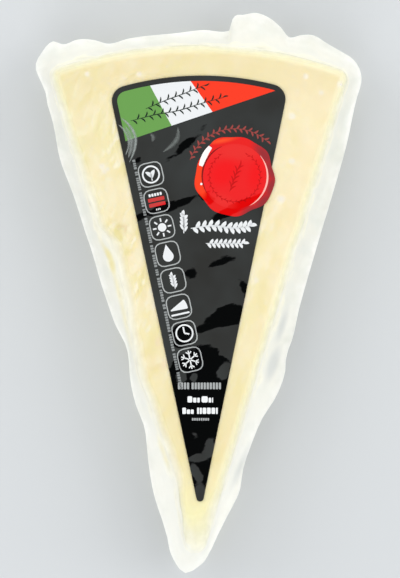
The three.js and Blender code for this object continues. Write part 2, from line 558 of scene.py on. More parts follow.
# %% [markdown]
# ## The cheese
#
# The cheese is one solid wedge. Its long sides are cut with a wire and its end is the curved
# outside of the wheel. Its edges were pressed round by the vacuum. The section of the cheese
# runs from the lower face over a rounded edge, up the wall and over a wider rounded edge to the
# upper face. Along the left side the wall leans in, most of all in two stretches, so that its
# upper edge lies further in there.

# %% The cheese's section
FILM_GAP = 0.12 * MM  # between the cheese and the film
TOP_ROUND, TOP_STEPS = 2.8 * MM, 10
BOTTOM_ROUND, BOTTOM_STEPS = 2.0 * MM, 8
WALL_STEPS = 22
LEFT_RIDGE = (  # Y of a place on the left side, and how far inside its bright ridge stands, in mm
    (-66.0, 0.8), (-60.0, 2.0), (-52.0, 3.2), (-43.9, 2.9), (-34.0, 2.2), (-23.6, 1.3), (-10.0, 2.4),
    (-1.9, 3.8), (4.9, 3.8), (8.9, 4.4), (13.0, 4.1), (18.4, 1.9), (30.0, 1.2), (44.0, 0.5),
)
RIDGE_OVER = 0.4 * MM  # from the top of the wall to the ridge
LEAN_FROM = 6 * MM  # height from which the wall leans in


def ridge_inside(y):
    """How far inside the left side the upper edge's ridge stands."""
    spot = min(max(y / MM, LEFT_RIDGE[0][0]), LEFT_RIDGE[-1][0])
    for (low, near), (high, far) in zip(LEFT_RIDGE, LEFT_RIDGE[1:]):
        if spot <= high:
            return (near + (far - near) * smooth(low, high, spot)) * MM


def lean(x, y, height):
    """How far the left wall leans in at a height."""
    if x > 0:
        return 0.0
    return max(0.0, ridge_inside(y) - RIDGE_OVER) * smooth(LEAN_FROM, FACE, height)


def quarter(radius, steps):
    """Points of a quarter round from a face to a wall: distance inside, distance from the face."""
    angles = [math.pi / 2 * i / steps for i in range(steps + 1)]
    return [(radius * (1 - math.sin(a)), radius * (1 - math.cos(a))) for a in angles]


def between(low, high, steps):
    return [low + (high - low) * i / steps for i in range(1, steps)]


def cheese_section(station):
    rows = [(-inside, up) for inside, up in quarter(BOTTOM_ROUND, BOTTOM_STEPS)]
    rows += [(0.0, height) for height in between(BOTTOM_ROUND, FACE - TOP_ROUND, WALL_STEPS)]
    rows += [(-inside, FACE - down) for inside, down in reversed(quarter(TOP_ROUND, TOP_STEPS))]
    return [
        (past - lean(station.at.x, station.at.y, height) - FILM_GAP, height, 0.0)
        for past, height in rows
    ]


# %% Dents, pits and the upper face
CHEESE_STEP = 0.65 * MM  # along the outline
TOP_CELL = 0.8 * MM
BOTTOM_CELL = 1.6 * MM
WALL_DENT = (7 * MM, 0.35 * MM)
PUSH_TO = -8 * MM  # dents push the walls towards this Y, at the middle of the pack
ON_RIM = 1.0 * MM  # from this far out, the film is rim and has no dents
PITS = (  # x, y, half width and half length in mm, and depth
    (-21.3, 16.6, 1.3, 2.6, 0.3),
    (-24.6, 9.8, 0.7, 2.4, 0.25),
    (26.5, 41.0, 1.0, 1.3, 0.15),
    (-30.0, 40.0, 1.1, 1.6, 0.15),
)


def pits_at(x, y):
    """For each pit, how strong it is at a place, from 0 to 1, and how deep."""
    for pit_x, pit_y, wide, long, deep in PITS:
        away = ((x / MM - pit_x) / wide) ** 2 + ((y / MM - pit_y) / long) ** 2
        yield math.exp(-away), deep * MM


def settle(shape, drop):
    """Lay the upper face on its waves, drop below the film, and push dents into the walls."""
    size, deep = WALL_DENT
    for vertex in shape.verts:
        x, y, z = vertex.co
        upper = smooth(FACE - TOP_ROUND, FACE, z)
        if upper > 0:
            vertex.co.z += upper * (face_height(x, y) - FACE - drop)
        wall = smooth(0, BOTTOM_ROUND, z) * (1 - upper)
        if wall > 0:
            wall *= 1 - smooth(0, ON_RIM, -CHEESE.depth(x, y))
            inwards = Vector((-x, PUSH_TO - y, 0)).normalized()
            vertex.co += inwards * wall * (deep * (0.5 + 0.5 * noise.noise(Vector((x, y, z)) / size)))


cheese_shape, cheese_lower, cheese_upper = wrap(CHEESE, CHEESE_STEP, cheese_section, "depth")
cut_squares(cheese_shape, cheese_lower, BOTTOM_CELL)
cut_squares(cheese_shape, cheese_upper, TOP_CELL)
settle(cheese_shape, FILM_GAP)
depth_layer = cheese_shape.verts.layers.float["depth"]
pit_layer = cheese_shape.verts.layers.float.new("pit")
for vertex in cheese_shape.verts:
    x, y, z = vertex.co
    vertex[depth_layer] = CHEESE.depth(x, y)
    if z < FILM_GAP:
        vertex.co.z = FILM_GAP
    if z > FACE - TOP_ROUND:
        pits = list(pits_at(x, y))
        vertex[pit_layer] = max(strength for strength, _ in pits)
        vertex.co.z -= sum(deep * strength for strength, deep in pits)
print("vertices of the cheese:", len(cheese_shape.verts))

# %% [markdown]
# ## The finish of the cheese
#
# Hard grating cheese is a dense, dry, slightly oily paste. Light goes a millimetre or two into
# it, so it looks soft and even. It is pale straw, in clouds that lean to pink, with blotches and
# flakes along the grain where it was torn, warmer near the rind and paler near the tip. Three
# sizes of noise give that, and the few spots that stand out, such as a torn pit, are ellipses
# with a soft edge, because noise can't be told where to put them.

# %% Soft patches of a colour
PATCH_OVERLAP = 0.75  # half the length of a patch of a row, as a share of the patches' distance


def patch_field(tree, spot, patches):
    """How many millimetres inside its nearest patch each spot is, and below zero outside. A
    patch is an ellipse: centre, half length and half width in mm, and turn in degrees."""
    field = None
    for x, y, long, wide, turn in patches:
        ellipse = (spot, (x * MM, y * MM, 0), (0, 0, math.radians(turn)), (long * MM, wide * MM, 1))
        own = add(tree, "ShaderNodeMapping", ellipse, vector_type="TEXTURE")
        away = add(tree, "ShaderNodeVectorMath", (own,), operation="LENGTH").outputs["Value"]
        inside = add(tree, "ShaderNodeMapRange", (away, 0.0, 1.0, wide, 0.0), clamp=False)
        if field:
            inside = add(tree, "ShaderNodeMath", (field, inside), operation="MAXIMUM")
        field = inside
    return field


def along_route(points, wide):
    """Patches in a row along a route of points, all in millimetres."""
    patches = []
    for (x0, y0), (x1, y1) in zip(points, points[1:]):
        half = PATCH_OVERLAP * math.hypot(x1 - x0, y1 - y0)
        turn = math.degrees(math.atan2(y1 - y0, x1 - x0))
        patches.append(((x0 + x1) / 2, (y0 + y1) / 2, half, wide, turn))
    return patches


def patch_share(tree, spot, patches, blur, most):
    """A share for laying a colour on: most well inside a patch, and 0 outside."""
    field = patch_field(tree, spot, patches)
    ends = (field, -blur, blur, 0.0, most)
    return add(tree, "ShaderNodeMapRange", ends, interpolation_type="SMOOTHSTEP")


def painted(tree, colour, layers):
    """A colour with others laid over it in turn, each by its own share."""
    for share, other in layers:
        mix = add(tree, "ShaderNodeMix", {0: share, 6: colour, 7: other}, data_type="RGBA")
        colour = mix.outputs[2]
    return colour


# %% Colour of the cheese
CLOUD = 11.0 * MM
BLOTCH = 3.4 * MM
FLAKE = 1.1 * MM  # width of a flake of the torn grain
FLAKE_WAY = math.radians(65)  # the flakes lie along this line
PASTE_TONES = ((0.36, "#f6ecb7"), (0.66, "#fbebca"))
GRAIN_TONES = (  # noise, from and to, and colour
    ("blotches", 0.52, 0.68, "#f0e29a"),
    ("blotches", 0.48, 0.32, "#fff6df"),
    ("flakes", 0.54, 0.67, "#fffaea"),
)
SLOW_CHANGES = (  # X, Y or depth inside the outline, from and to in mm, most, and colour
    ("X", 8.5, 34, 0.6, "#fff0d0"),  # pinker to the right, where the paste dried more
    ("X", -9, -36, 0.45, "#f3e9b8"),  # yellower to the left
    ("Y", 46, 60, 0.5, "#f0dfa4"),  # warmer near the rind
    ("Y", 5, -40, 0.5, "#f0e09c"),  # yellower nearer the heart of the wheel
    ("Y", -40, -68, 0.9, "#fffac8"),  # paler at the tip
    # paler towards the edges: painted light that lifts the shade the hazy film and the rounded edge leave
    # there
    ("depth", 3.3, 1.2, 0.8, "#f8f5d4"),  # and at the edges
)
PINK_SPOTS = ((-10.9, -13.3, 1.2, 0.8, 70), (-9.3, -19.3, 1.4, 0.8, 70))
# a thin pinkish line along the right edge: painted shade of the groove where the film leaves the cheese
GROOVE_SHADE_LINE = ((12.95, -30.4), (11.3, -39.8), (9.97, -45.3), (8.1, -53.4), (6.5, -58.8))


def cheese_colour(tree, spot):
    """Pale straw in clouds, blotches and flakes, warmer at the rind and paler at the tip."""
    flat = add(tree, "ShaderNodeVectorMath", (spot, (1, 1, 0.6)), operation="MULTIPLY")
    clouds = add(tree, "ShaderNodeTexNoise", {0: flat, "Scale": 1 / CLOUD, "Detail": 2.0})
    base = add(tree, "ShaderNodeValToRGB", (clouds,))
    set_tones(base, PASTE_TONES)
    grain_way = add(tree, "ShaderNodeMapping", {0: flat, "Rotation": (0, 0, -FLAKE_WAY)})
    long_way = add(tree, "ShaderNodeVectorMath", (grain_way, (0.4, 1, 1)), operation="MULTIPLY")
    grain = {
        "blotches": add(tree, "ShaderNodeTexNoise", {0: long_way, "Scale": 1 / BLOTCH, "Detail": 2.0}),
        "flakes": add(tree, "ShaderNodeTexNoise", {0: long_way, "Scale": 1 / FLAKE, "Detail": 1.0}),
    }
    place = add(tree, "ShaderNodeSeparateXYZ", (spot,)).outputs
    # the left side was torn more than cut, so its blotches are twice as strong
    torn_side = add(tree, "ShaderNodeMapRange", (place["X"], -6 * MM, -20 * MM, 0.65, 1.2))
    layers = []
    for pattern, low, high, tone in GRAIN_TONES:
        part = add(tree, "ShaderNodeMapRange", (grain[pattern], low, high, 0.0, 0.9))
        layers.append((add(tree, "ShaderNodeMath", (part, torn_side), operation="MULTIPLY"), tone))
    depth = add(tree, "ShaderNodeAttribute", attribute_name="depth").outputs["Fac"]
    for measure, start, end, most, tone in SLOW_CHANGES:
        value = depth if measure == "depth" else place[measure]
        ends = (value, start * MM, end * MM, 0.0, most)
        layers.append((add(tree, "ShaderNodeMapRange", ends, interpolation_type="SMOOTHSTEP"), tone))
    # the pink spots are the paste's own colour, and the line along the right edge is painted shade
    for patches, blur, most in ((PINK_SPOTS, 0.5, 0.6), (along_route(GROOVE_SHADE_LINE, 0.25), 0.25, 0.4)):
        layers.append((patch_share(tree, flat, patches, blur, most), "#f6dcc6"))
    return painted(tree, base, layers)


# %% Cheese paste
GRAIN = 0.9 * MM  # crumb of the cut face
TORN = ((-22.0, 16.9, 1.9, 0.9, 70), (-21.2, 15.2, 1.3, 0.8, 100), (-24.4, 10.2, 2.6, 0.6, 106))
BROWN_TICK = ((-20.6, 18.0, 1.3, 0.2, 5), (-19.7, 17.2, 0.7, 0.2, 68))
LARGE_CRYSTALS = (  # x, y and width in millimetres
    (25.5, 47.9, 1.5), (25.4, 35.7, 1.4), (22.4, 25.4, 1.7), (29.2, 58.7, 1.2),
    (38.4, 56.6, 1.3), (33.3, 54.3, 1.0), (-26.1, 34.3, 1.3), (-25.5, 32.9, 1.1),
    (-24.5, 33.6, 0.8), (-16.0, 59.2, 1.1), (-30.1, 59.3, 1.0), (15.7, 3.5, 1.1),
)
PALE_RING = 0.62  # half the paler paste round a crystal, as a share of its width


def cheese_paste():
    """Aged hard cheese, wire cut: soft, matt and a little translucent."""
    finish, tree, paste = start_finish("aged_hard_cheese")
    spot = add(tree, "ShaderNodeTexCoord").outputs["Object"]
    flat = add(tree, "ShaderNodeVectorMath", (spot, (1, 1, 0)), operation="MULTIPLY")
    pit = add(tree, "ShaderNodeAttribute", attribute_name="pit").outputs["Fac"]
    rings = [(x, y, PALE_RING * wide, PALE_RING * wide, 0) for x, y, wide in LARGE_CRYSTALS]
    layers = (
        # darker yellow in each pit: partly the paste's own colour in the hollow, partly painted shade
        (add(tree, "ShaderNodeMath", (pit, 0.35), operation="MULTIPLY"), "#e9dd98"),
        (patch_share(tree, flat, TORN, 0.4, 0.85), "#e9dc84"),
        (patch_share(tree, flat, BROWN_TICK, 0.25, 0.75), "#d8b483"),
        (patch_share(tree, flat, rings, 0.3, 0.9), "#fffaf2"),
    )
    crumb = add(tree, "ShaderNodeTexNoise", {0: spot, "Scale": 1 / GRAIN, "Detail": 4.0})
    uneven = {"Height": crumb, "Strength": 0.35, "Distance": 0.25 * MM}
    settings = {
        "Base Color": painted(tree, cheese_colour(tree, spot), layers),
        "Normal": add(tree, "ShaderNodeBump", uneven),
        "Roughness": 0.6,
        "IOR": 1.45,
        "Subsurface Weight": 0.1,
        "Subsurface Radius": (1.0, 0.7, 0.35),
        "Subsurface Scale": 1.5 * MM,
    }
    feed(tree, paste, settings)
    return finish


make_piece("cheese_wedge", cheese_shape, cheese_paste(), "sealed_pack")

# %% [markdown]
# ## Crystals
#
# Aged cheese holds small crystals, a millimetre or so across, which look like pale pinkish
# grains just under the film. They could be dots of colour, but each one really is a hard grain
# that stands a little proud, so they are low lumps, pressed from coarse balls. The largest lie
# at listed places, and small ones are scattered.

# %% Crystals under the film
SMALL_CRYSTALS = 46
SMALL_WIDTH = (0.35, 0.8)  # in millimetres
SCATTER = ((-42, 42), (-62, 70))  # where small ones are tried, along X and Y in millimetres
NARROWEST = 0.7  # how narrow a crystal may be across, as a share of its width
CRYSTAL_TALL = 0.16  # as a share of its width
CRYSTAL_SUNK = 0.1  # so that it stays under the film
FROM_EDGE = 3.5 * MM  # how far small ones stay inside the upper edge
FROM_LABEL = 1 * MM
dice = random.Random(11)


def round_drop(x, y):
    """How far the cheese's rounded upper edge has fallen below the face."""
    inside = CHEESE.depth(x, y) - FILM_GAP
    short = min(TOP_ROUND, max(0.0, TOP_ROUND - inside))
    return TOP_ROUND - math.sqrt(TOP_ROUND**2 - short**2)


def crystal(shape, x, y, width):
    """Add a low lump whose upper side stands just out of the cheese."""
    lump = bmesh.ops.create_icosphere(shape, subdivisions=2, radius=width / 2 * MM)["verts"]
    bmesh.ops.scale(shape, verts=lump, vec=(1.0, dice.uniform(NARROWEST, 1.0), 2 * CRYSTAL_TALL))
    turned = Matrix.Rotation(dice.uniform(0, math.pi), 4, "Z")
    sunk = FILM_GAP + CRYSTAL_SUNK * width * MM + round_drop(x * MM, y * MM)
    height = face_height(x * MM, y * MM) - sunk
    place = Matrix.Translation((x * MM, y * MM, height))
    bmesh.ops.transform(shape, matrix=place @ turned, verts=lump)


def crystal_finish():
    """Tyrosine grains: hard, pale and a little glassy."""
    finish, tree, grain = start_finish("tyrosine_crystals")
    spot = add(tree, "ShaderNodeTexCoord").outputs["Object"]
    cloudy = add(tree, "ShaderNodeTexNoise", {0: spot, "Scale": 1 / (0.8 * MM), "Detail": 2.0})
    settings = {
        "Base Color": painted(tree, "#fff2e6", [(cloudy, "#fffcf8")]),
        "Roughness": 0.4,
        "Subsurface Weight": 0.3,
        "Subsurface Radius": (1.0, 0.8, 0.6),
        "Subsurface Scale": 0.6 * MM,
    }
    feed(tree, grain, settings)
    return finish


crystals = bmesh.new()
for x, y, width in LARGE_CRYSTALS:
    crystal(crystals, x, y, width)
scattered = 0
while scattered < SMALL_CRYSTALS:
    x, y = (dice.uniform(*span) for span in SCATTER)
    inside = CHEESE.depth(x * MM, y * MM) - lean(x * MM, y * MM, FACE)
    if inside > FROM_EDGE and LABEL.depth(x * MM, y * MM) < -FROM_LABEL:
        crystal(crystals, x, y, dice.uniform(*SMALL_WIDTH))
        scattered += 1
make_piece("cheese_crystals", crystals, crystal_finish(), "sealed_pack")

# %% [markdown]
# ## The film
#
# The film is two sheets, shrunk over the cheese and fused where they meet. On the broad faces
# it is so clear that only its shine shows. Where it turns over an edge and leaves the cheese for
# the seam it is puckered, and it looks like frosted glass. So the film is one closed skin with
# a number at each vertex for its haze, from 0 for clear to 1 for white.

# %% The film's section
RIM_THICK = 0.36 * MM
RIM_HEIGHT = 9 * MM
ROOT_ABOVE = 10.5 * MM  # stretch of wall over which the upper film leaves the cheese
ROOT_BELOW = 6.4 * MM
ROOT_CURVE = 4.0  # how quickly the film falls from there to the rim
PUCKER = (5.5 * MM, 0.16 * MM)  # spacing and height of puckers at the rim's edge
RIM_ROWS = 14
ROW_SPREAD = 1.5  # the rows lie closer together at the rim's root
LOW_WALL_STEPS, HIGH_WALL_STEPS = 2, 4
LIP = 0.35  # how far the rim's rounded edge stands out, as a share of its thickness
BACK_HAZE = 0.5  # over the lower edge
BACK_FADE = 1.5  # how quickly it fades there
WALL_HAZE = 0.6
ROOT_HAZE = 0.95  # where the film leaves the wall for the rim
FULL_HAZE_BY = 0.25  # share of the way out by which haze has passed 1


def pucker(station, share):
    """Small waves of the rim across the seam, strongest at its edge."""
    spacing, height = PUCKER
    return height * noise.noise(station.at / spacing) * share


def turned_over(inside):
    """Haze on the lower rounded edge, which fades towards the back face."""
    return BACK_HAZE * (1 - inside / BOTTOM_ROUND) ** BACK_FADE


def rim_rows(station, reach, edge_drop, root):
    """One side of the rim, from the wall to its edge. The root is below zero under the rim.
    Past 1, haze counts the way out."""
    rows = []
    for i in range(RIM_ROWS + 1):
        share = (i / RIM_ROWS) ** ROW_SPREAD
        tall = math.exp(-ROOT_CURVE * share) - share * math.exp(-ROOT_CURVE)
        height = RIM_HEIGHT + edge_drop * share + pucker(station, share)
        height += math.copysign(RIM_THICK / 2, root) + root * tall
        haze = ROOT_HAZE + (1 + share - ROOT_HAZE) * smooth(0, FULL_HAZE_BY, share)
        rows.append((reach * share, height, haze))
    return rows


def film_section(station):
    reach, edge = rim_at(station)
    edge_drop = edge - RIM_HEIGHT
    lip = RIM_HEIGHT + edge_drop + pucker(station, 1.0)
    low_root = RIM_HEIGHT - RIM_THICK / 2 - ROOT_BELOW
    high_root = RIM_HEIGHT + RIM_THICK / 2 + ROOT_ABOVE
    low_wall = between(BOTTOM_ROUND, low_root, LOW_WALL_STEPS)
    high_wall = between(high_root, FACE - TOP_ROUND, HIGH_WALL_STEPS)
    wall_haze = ROOT_HAZE if lean(station.at.x, station.at.y, FACE) else WALL_HAZE
    rows = [(-inside, up, turned_over(inside)) for inside, up in quarter(BOTTOM_ROUND, BOTTOM_STEPS)]
    rows += [(0.0, height, BACK_HAZE) for height in low_wall]
    rows += rim_rows(station, reach, edge_drop, -ROOT_BELOW)
    rows += [(reach + RIM_THICK * LIP, lip, 2.0)]
    rows += reversed(rim_rows(station, reach, edge_drop, ROOT_ABOVE))
    rows += [(0.0, height, wall_haze) for height in high_wall]
    rows += [(-inside, FACE - down, 0.0) for inside, down in reversed(quarter(TOP_ROUND, TOP_STEPS))]
    return [
        (past - lean(station.at.x, station.at.y, height), height, haze)
        for past, height, haze in rows
    ]


# %% Haze near the film's upper edge
# How far inside the cheese's upper edge the film stops being white, and where it is clear
RIND_FADE = Vector((-0.6, 3.0)) * MM
RIND_RIGHT_FADE = Vector((-1.0, 2.7)) * MM
RIGHT_FADE = Vector((-0.6, 3.5)) * MM
LOW_RIGHT_FADE = Vector((-0.8, 3.1)) * MM
TIP_FADE = Vector((-1.4, 5.4)) * MM
LEFT_FADE = Vector((-1.0, 3.7)) * MM  # from the ridge of the folded film
# Where one fade runs into the next, along X or Y
TO_LOW_RIGHT = (30 * MM, -40 * MM)
TO_RIGHT = (-5 * MM, 4 * MM)
TO_TIP = (-48 * MM, -60 * MM)
TO_RIND_RIGHT = (12 * MM, 28 * MM)
TO_RIND = (48 * MM, 57 * MM)
SOFT_CORNER = 0.9 * MM  # how softly the haze of a side runs into that of the rind
TIP_HAZE = 0.97
TIP_WHITENS = (-53 * MM, -72 * MM)  # the film had the most to shrink at the tip
FILM_STEP = 0.6 * MM  # along the outline


def edge_haze(x, y):
    """Haze of the film near the cheese's upper edge, which fades towards the face."""
    near = sum(math.exp(-depth / SOFT_CORNER) for depth in CHEESE.depths(x, y))
    inside = -SOFT_CORNER * math.log(near)
    right = RIGHT_FADE.lerp(LOW_RIGHT_FADE, smooth(*TO_LOW_RIGHT, y))
    left = LEFT_FADE + Vector((1, 1)) * ridge_inside(y)
    fade = left.lerp(right, smooth(*TO_RIGHT, x))
    fade = fade.lerp(TIP_FADE, smooth(*TO_TIP, y))
    rind = RIND_FADE.lerp(RIND_RIGHT_FADE, smooth(*TO_RIND_RIGHT, x))
    fade = fade.lerp(rind, smooth(*TO_RIND, y))
    return 1 - smooth(fade[0], fade[1], inside)


film_shape, film_lower, film_upper = wrap(CHEESE, FILM_STEP, film_section, "haze")
cut_squares(film_shape, film_lower, BOTTOM_CELL)
cut_squares(film_shape, film_upper, TOP_CELL)
haze_layer = film_shape.verts.layers.float["haze"]
for vertex in film_shape.verts:
    x, y, z = vertex.co
    if z > FACE - TOP_ROUND - SAME_PLACE:
        at_tip = TIP_HAZE * smooth(*TIP_WHITENS, y)
        vertex[haze_layer] = max(edge_haze(x, y), crease_haze_and_highlight(x, y), at_tip)
settle(film_shape, 0.0)
print("vertices of the film:", len(film_shape.verts))

# %% [markdown]
# ## The finish of the film
#
# The film is a laminate of nylon and polyethylene, about a tenth of a millimetre thick. Clear,
# it only adds a Fresnel shine to what is under it, so that part is a mix of a transparent and a
# glossy shader. Puckered and fused, it scatters light, and that part is a pale, smooth plastic.
# The haze number of each vertex, broken up by noise, mixes the two, and some haze is left
# everywhere. Light spreads in the cheese behind the hazy film, but not in the thin rim. Along the
# left side the film has folded into a soft hazy band, with a painted highlight along it and ochre
# cheese beside it.

# %% Colour of the hazy film
RIM_CLOUD = 7.0 * MM  # greyer places of the rim, where the film is a little clearer
RIM_CLOUDS = 0.35  # and how strong they are
HAZE_TONES = (  # by the haze number, which counts from 1 at the rim's root to 2 at its edge
    (0.0, "#fdf2d2"),
    (0.35, "#fef7d8"),
    (0.65, "#fef8dd"),
    (0.95, "#fdf7e0"),
    (1.12, "#efecde"),
    (1.5, "#ebe9de"),
    (1.8, "#efeee5"),
    (2.0, "#f9f7f0"),
)
# Patches of the rim that are clearer: centre, half length and half width in mm, turn in degrees
GREY_RIM = ((20.4, -19.4, 4.6, 1.3, 72), (22.8, -9.0, 4.0, 0.9, 73), (11.6, -47.2, 5.0, 0.8, 68))
LOW_RIM = (15 * MM, -60 * MM)  # Y from and to which the rim grows whiter towards the tip


def film_tone(tree, flat, haze, patches, ochres, fold_and_highlight):
    """Straw in thin haze, creamy at the rim, white at its edge, ochre beside the folded band, and a
    painted highlight along that band.
    """
    uneven = add(tree, "ShaderNodeMapRange", (patches, 0.3, 0.7, -0.2, 0.2))
    way_out = add(tree, "ShaderNodeMath", (haze, uneven), operation="ADD")
    across = add(tree, "ShaderNodeMapRange", (way_out, 0.0, 2.0, 0.0, 1.0))
    tones = add(tree, "ShaderNodeValToRGB", (across,))
    set_tones(tones, [(out / 2, tone) for out, tone in HAZE_TONES])
    on_rim = add(tree, "ShaderNodeMapRange", (haze, 1.0, 1.3, 0.0, RIM_CLOUDS))
    clouds = add(tree, "ShaderNodeTexNoise", {0: flat, "Scale": 1 / RIM_CLOUD, "Detail": 2.0})
    cloudy = add(tree, "ShaderNodeMapRange", (clouds, 0.45, 0.7, 0.0, on_rim))
    rim_only = add(tree, "ShaderNodeMapRange", (haze, 0.85, 1.1, 0.0, 0.5))
    y = add(tree, "ShaderNodeSeparateXYZ", (flat,)).outputs["Y"]
    ends = (y, *LOW_RIM, 0.0, rim_only)
    low_rim = add(tree, "ShaderNodeMapRange", ends, interpolation_type="SMOOTHSTEP")
    layers = [(cloudy, "#d6dad0"), (low_rim, "#fdfbf2")]
    layers.append((patch_share(tree, flat, GREY_RIM, 0.8, 0.7), "#cdcfcc"))
    layers += [(share, "#efe2a2") for share in ochres]
    return painted(tree, tones, [*layers, (fold_and_highlight, "#fffae2")])


# %% Shrink film
HAZE_PATCH = 5.0 * MM
CRINKLE = 3.0 * MM
VEIL = 0.28  # the least haze: the film is never quite clear
HEAD_ON_SHINE = 0.04  # share of light mirrored by plastic seen head on
# the soft folded band along the left side: hazy film with a painted highlight along its route
LEFT_FOLD_AND_HIGHLIGHT = (  # in millimetres
    (-30.6, 31.0), (-28.5, 24.0), (-26.6, 18.4), (-24.3, 15.2), (-22.5, 12.6), (-21.3, 8.9),
    (-20.7, 4.9), (-18.8, -1.9), (-17.7, -10.0), (-16.3, -17.5), (-15.1, -23.6),
)
LOW_FOLD_AND_HIGHLIGHT = ((-11.4, -34.0), (-9.3, -39.8), (-7.6, -43.9), (-6.0, -48.6), (-4.9, -52.0))
OCHRE_WEDGE = ((-24.7, 11.4), (-23.6, 9.0), (-23.0, 6.4))
OCHRE_BAND = ((-25.9, 13.0), (-24.0, 9.2), (-22.8, 4.9), (-21.0, -1.9), (-19.3, -10.0))
LOW_OCHRE_BAND = ((-10.3, -40.9), (-9.2, -44.2), (-8.4, -46.4))


def clear_film(tree, bump):
    """Clear film only adds its shine, which grows where it is seen at a slant."""
    slant = add(tree, "ShaderNodeLayerWeight", {"Blend": 0.5, "Normal": bump}).outputs["Facing"]
    steep = add(tree, "ShaderNodeMath", (slant, 5.0), operation="POWER")
    mirrored = add(tree, "ShaderNodeMapRange", (steep, 0.0, 1.0, HEAD_ON_SHINE, 1.0))
    see_through = add(tree, "ShaderNodeBsdfTransparent")
    shine = add(tree, "ShaderNodeBsdfGlossy", {"Roughness": 0.32, "Normal": bump})
    return add(tree, "ShaderNodeMixShader", (mirrored, see_through, shine))


def shrink_film():
    """Nylon and polyethylene film: glossy and clear, white where it is puckered."""
    finish, tree, frosted = start_finish("nylon_shrink_film")
    spot = add(tree, "ShaderNodeTexCoord").outputs["Object"]
    flat = add(tree, "ShaderNodeVectorMath", (spot, (1, 1, 0)), operation="MULTIPLY")
    haze = add(tree, "ShaderNodeAttribute", attribute_name="haze").outputs["Fac"]
    patches = add(tree, "ShaderNodeTexNoise", {0: spot, "Scale": 1 / HAZE_PATCH, "Detail": 3.0})
    crinkles = add(tree, "ShaderNodeTexNoise", {0: spot, "Scale": 1 / CRINKLE, "Detail": 2.0})
    creased = add(tree, "ShaderNodeMapRange", (haze, 1.0, 1.3, 0.08, 0.4))
    uneven = {"Height": crinkles, "Strength": creased, "Distance": 0.5 * MM}
    bump = add(tree, "ShaderNodeBump", uneven)
    ochre_bands = along_route(OCHRE_BAND, 0.5) + along_route(LOW_OCHRE_BAND, 0.5)
    ochre = patch_share(tree, flat, ochre_bands, 0.6, 0.5)
    ochre_wedge = patch_share(tree, flat, along_route(OCHRE_WEDGE, 0.7), 0.5, 0.9)
    # the cream white of the folded band is partly hazy film and partly a painted highlight
    folds_and_highlights = along_route(LEFT_FOLD_AND_HIGHLIGHT, 1.2) + along_route(LOW_FOLD_AND_HIGHLIGHT, 0.6)
    fold_and_highlight = patch_share(tree, flat, folds_and_highlights, 1.7, 0.8)

    # light spreads in the cheese behind the hazy film, but the thin rim has nothing behind it
    spread = add(tree, "ShaderNodeMapRange", (haze, 0.95, 1.15, 0.4, 0.15))
    spread = add(tree, "ShaderNodeMath", (spread, fold_and_highlight), operation="SUBTRACT", use_clamp=True)
    settings = {
        "Base Color": film_tone(tree, flat, haze, patches, (ochre, ochre_wedge), fold_and_highlight),
        "Roughness": 0.42,
        "Specular IOR Level": 0.35,
        "IOR": 1.5,
        "Normal": bump,
        "Subsurface Weight": spread,
        "Subsurface Radius": (1.0, 0.97, 0.9),
        "Subsurface Scale": 2.0 * MM,
    }
    feed(tree, frosted, settings)

    thick_or_thin = add(tree, "ShaderNodeMapRange", (patches, 0.3, 0.7, 0.85, 1.15))
    ends = (haze, thick_or_thin)
    broken_haze = add(tree, "ShaderNodeMath", ends, operation="MULTIPLY", use_clamp=True)
    for share in (VEIL, ochre, ochre_wedge, fold_and_highlight):
        broken_haze = add(tree, "ShaderNodeMath", (broken_haze, share), operation="MAXIMUM")
    film = add(tree, "ShaderNodeMixShader", (broken_haze, clear_film(tree, bump), frosted))
    feed(tree, tree.nodes["Material Output"], {"Surface": film})
    return finish


make_piece("clear_film", film_shape, shrink_film(), "sealed_pack")

# %% [markdown]
# ## The label
#
# The label is a thin laminated sheet, printed black, stuck flat on the film. Its glue has
# wetted out only in places. There the print is deep black, with a crisp edge, and elsewhere a
# thin layer of air under the laminate makes it a hazy grey. Every ink of the label shares that
# pattern, so one function makes the finish of each ink.

# %% Printed laminate
SHEET_THICK = 0.16 * MM
SHEET_LIFT = 0.03 * MM
# Patches of the label, each given as on the rim
WETTED = (
    (-4.0, 39.6, 5.4, 1.1, 43),
    (-16.4, 36.1, 1.5, 0.9, 30),
    (-8.2, 23.3, 9.4, 1.2, 19),
    (2.1, 25.8, 2.6, 1.2, -28),
    (10.5, 23.0, 8.4, 1.3, 25),
    (7.0, 8.8, 3.6, 0.9, 23),
    (-2.1, 5.3, 2.0, 1.2, 0),
    (12.3, 1.5, 2.5, 0.8, -65),
    (7.8, -6.3, 5.8, 2.7, 17),
    (2.6, -9.2, 3.8, 1.1, 18),
    (-4.6, -11.6, 3.4, 3.0, 75),
    (0.8, -35.0, 20.5, 13.0, 90),
)
STILL_DRY = (
    (-4.5, -22.6, 1.5, 1.2, 80),
    (-1.1, -22.6, 1.4, 0.9, 85),
    (7.0, -21.2, 2.6, 1.5, 65),
    (-0.8, -38.3, 1.2, 0.9, 0),
    (2.9, -42.6, 3.1, 1.8, 70),
    (0.4, -44.6, 3.2, 1.1, 5),
    (-0.2, -49.4, 3.0, 1.2, -65),
    (0.6, -54.9, 3.2, 2.0, 90),
)
RAGGED = 2.4 * MM  # size of the waves in a patch's edge
RAGGED_BY = 0.8  # and how far they move it, in millimetres
SMEAR_WAY = math.radians(22)  # the waves are drawn out along this line
SOFT_EDGE = 0.22  # of a patch, in millimetres
DRIFT = 14 * MM  # size of the slow changes of a hazy ink


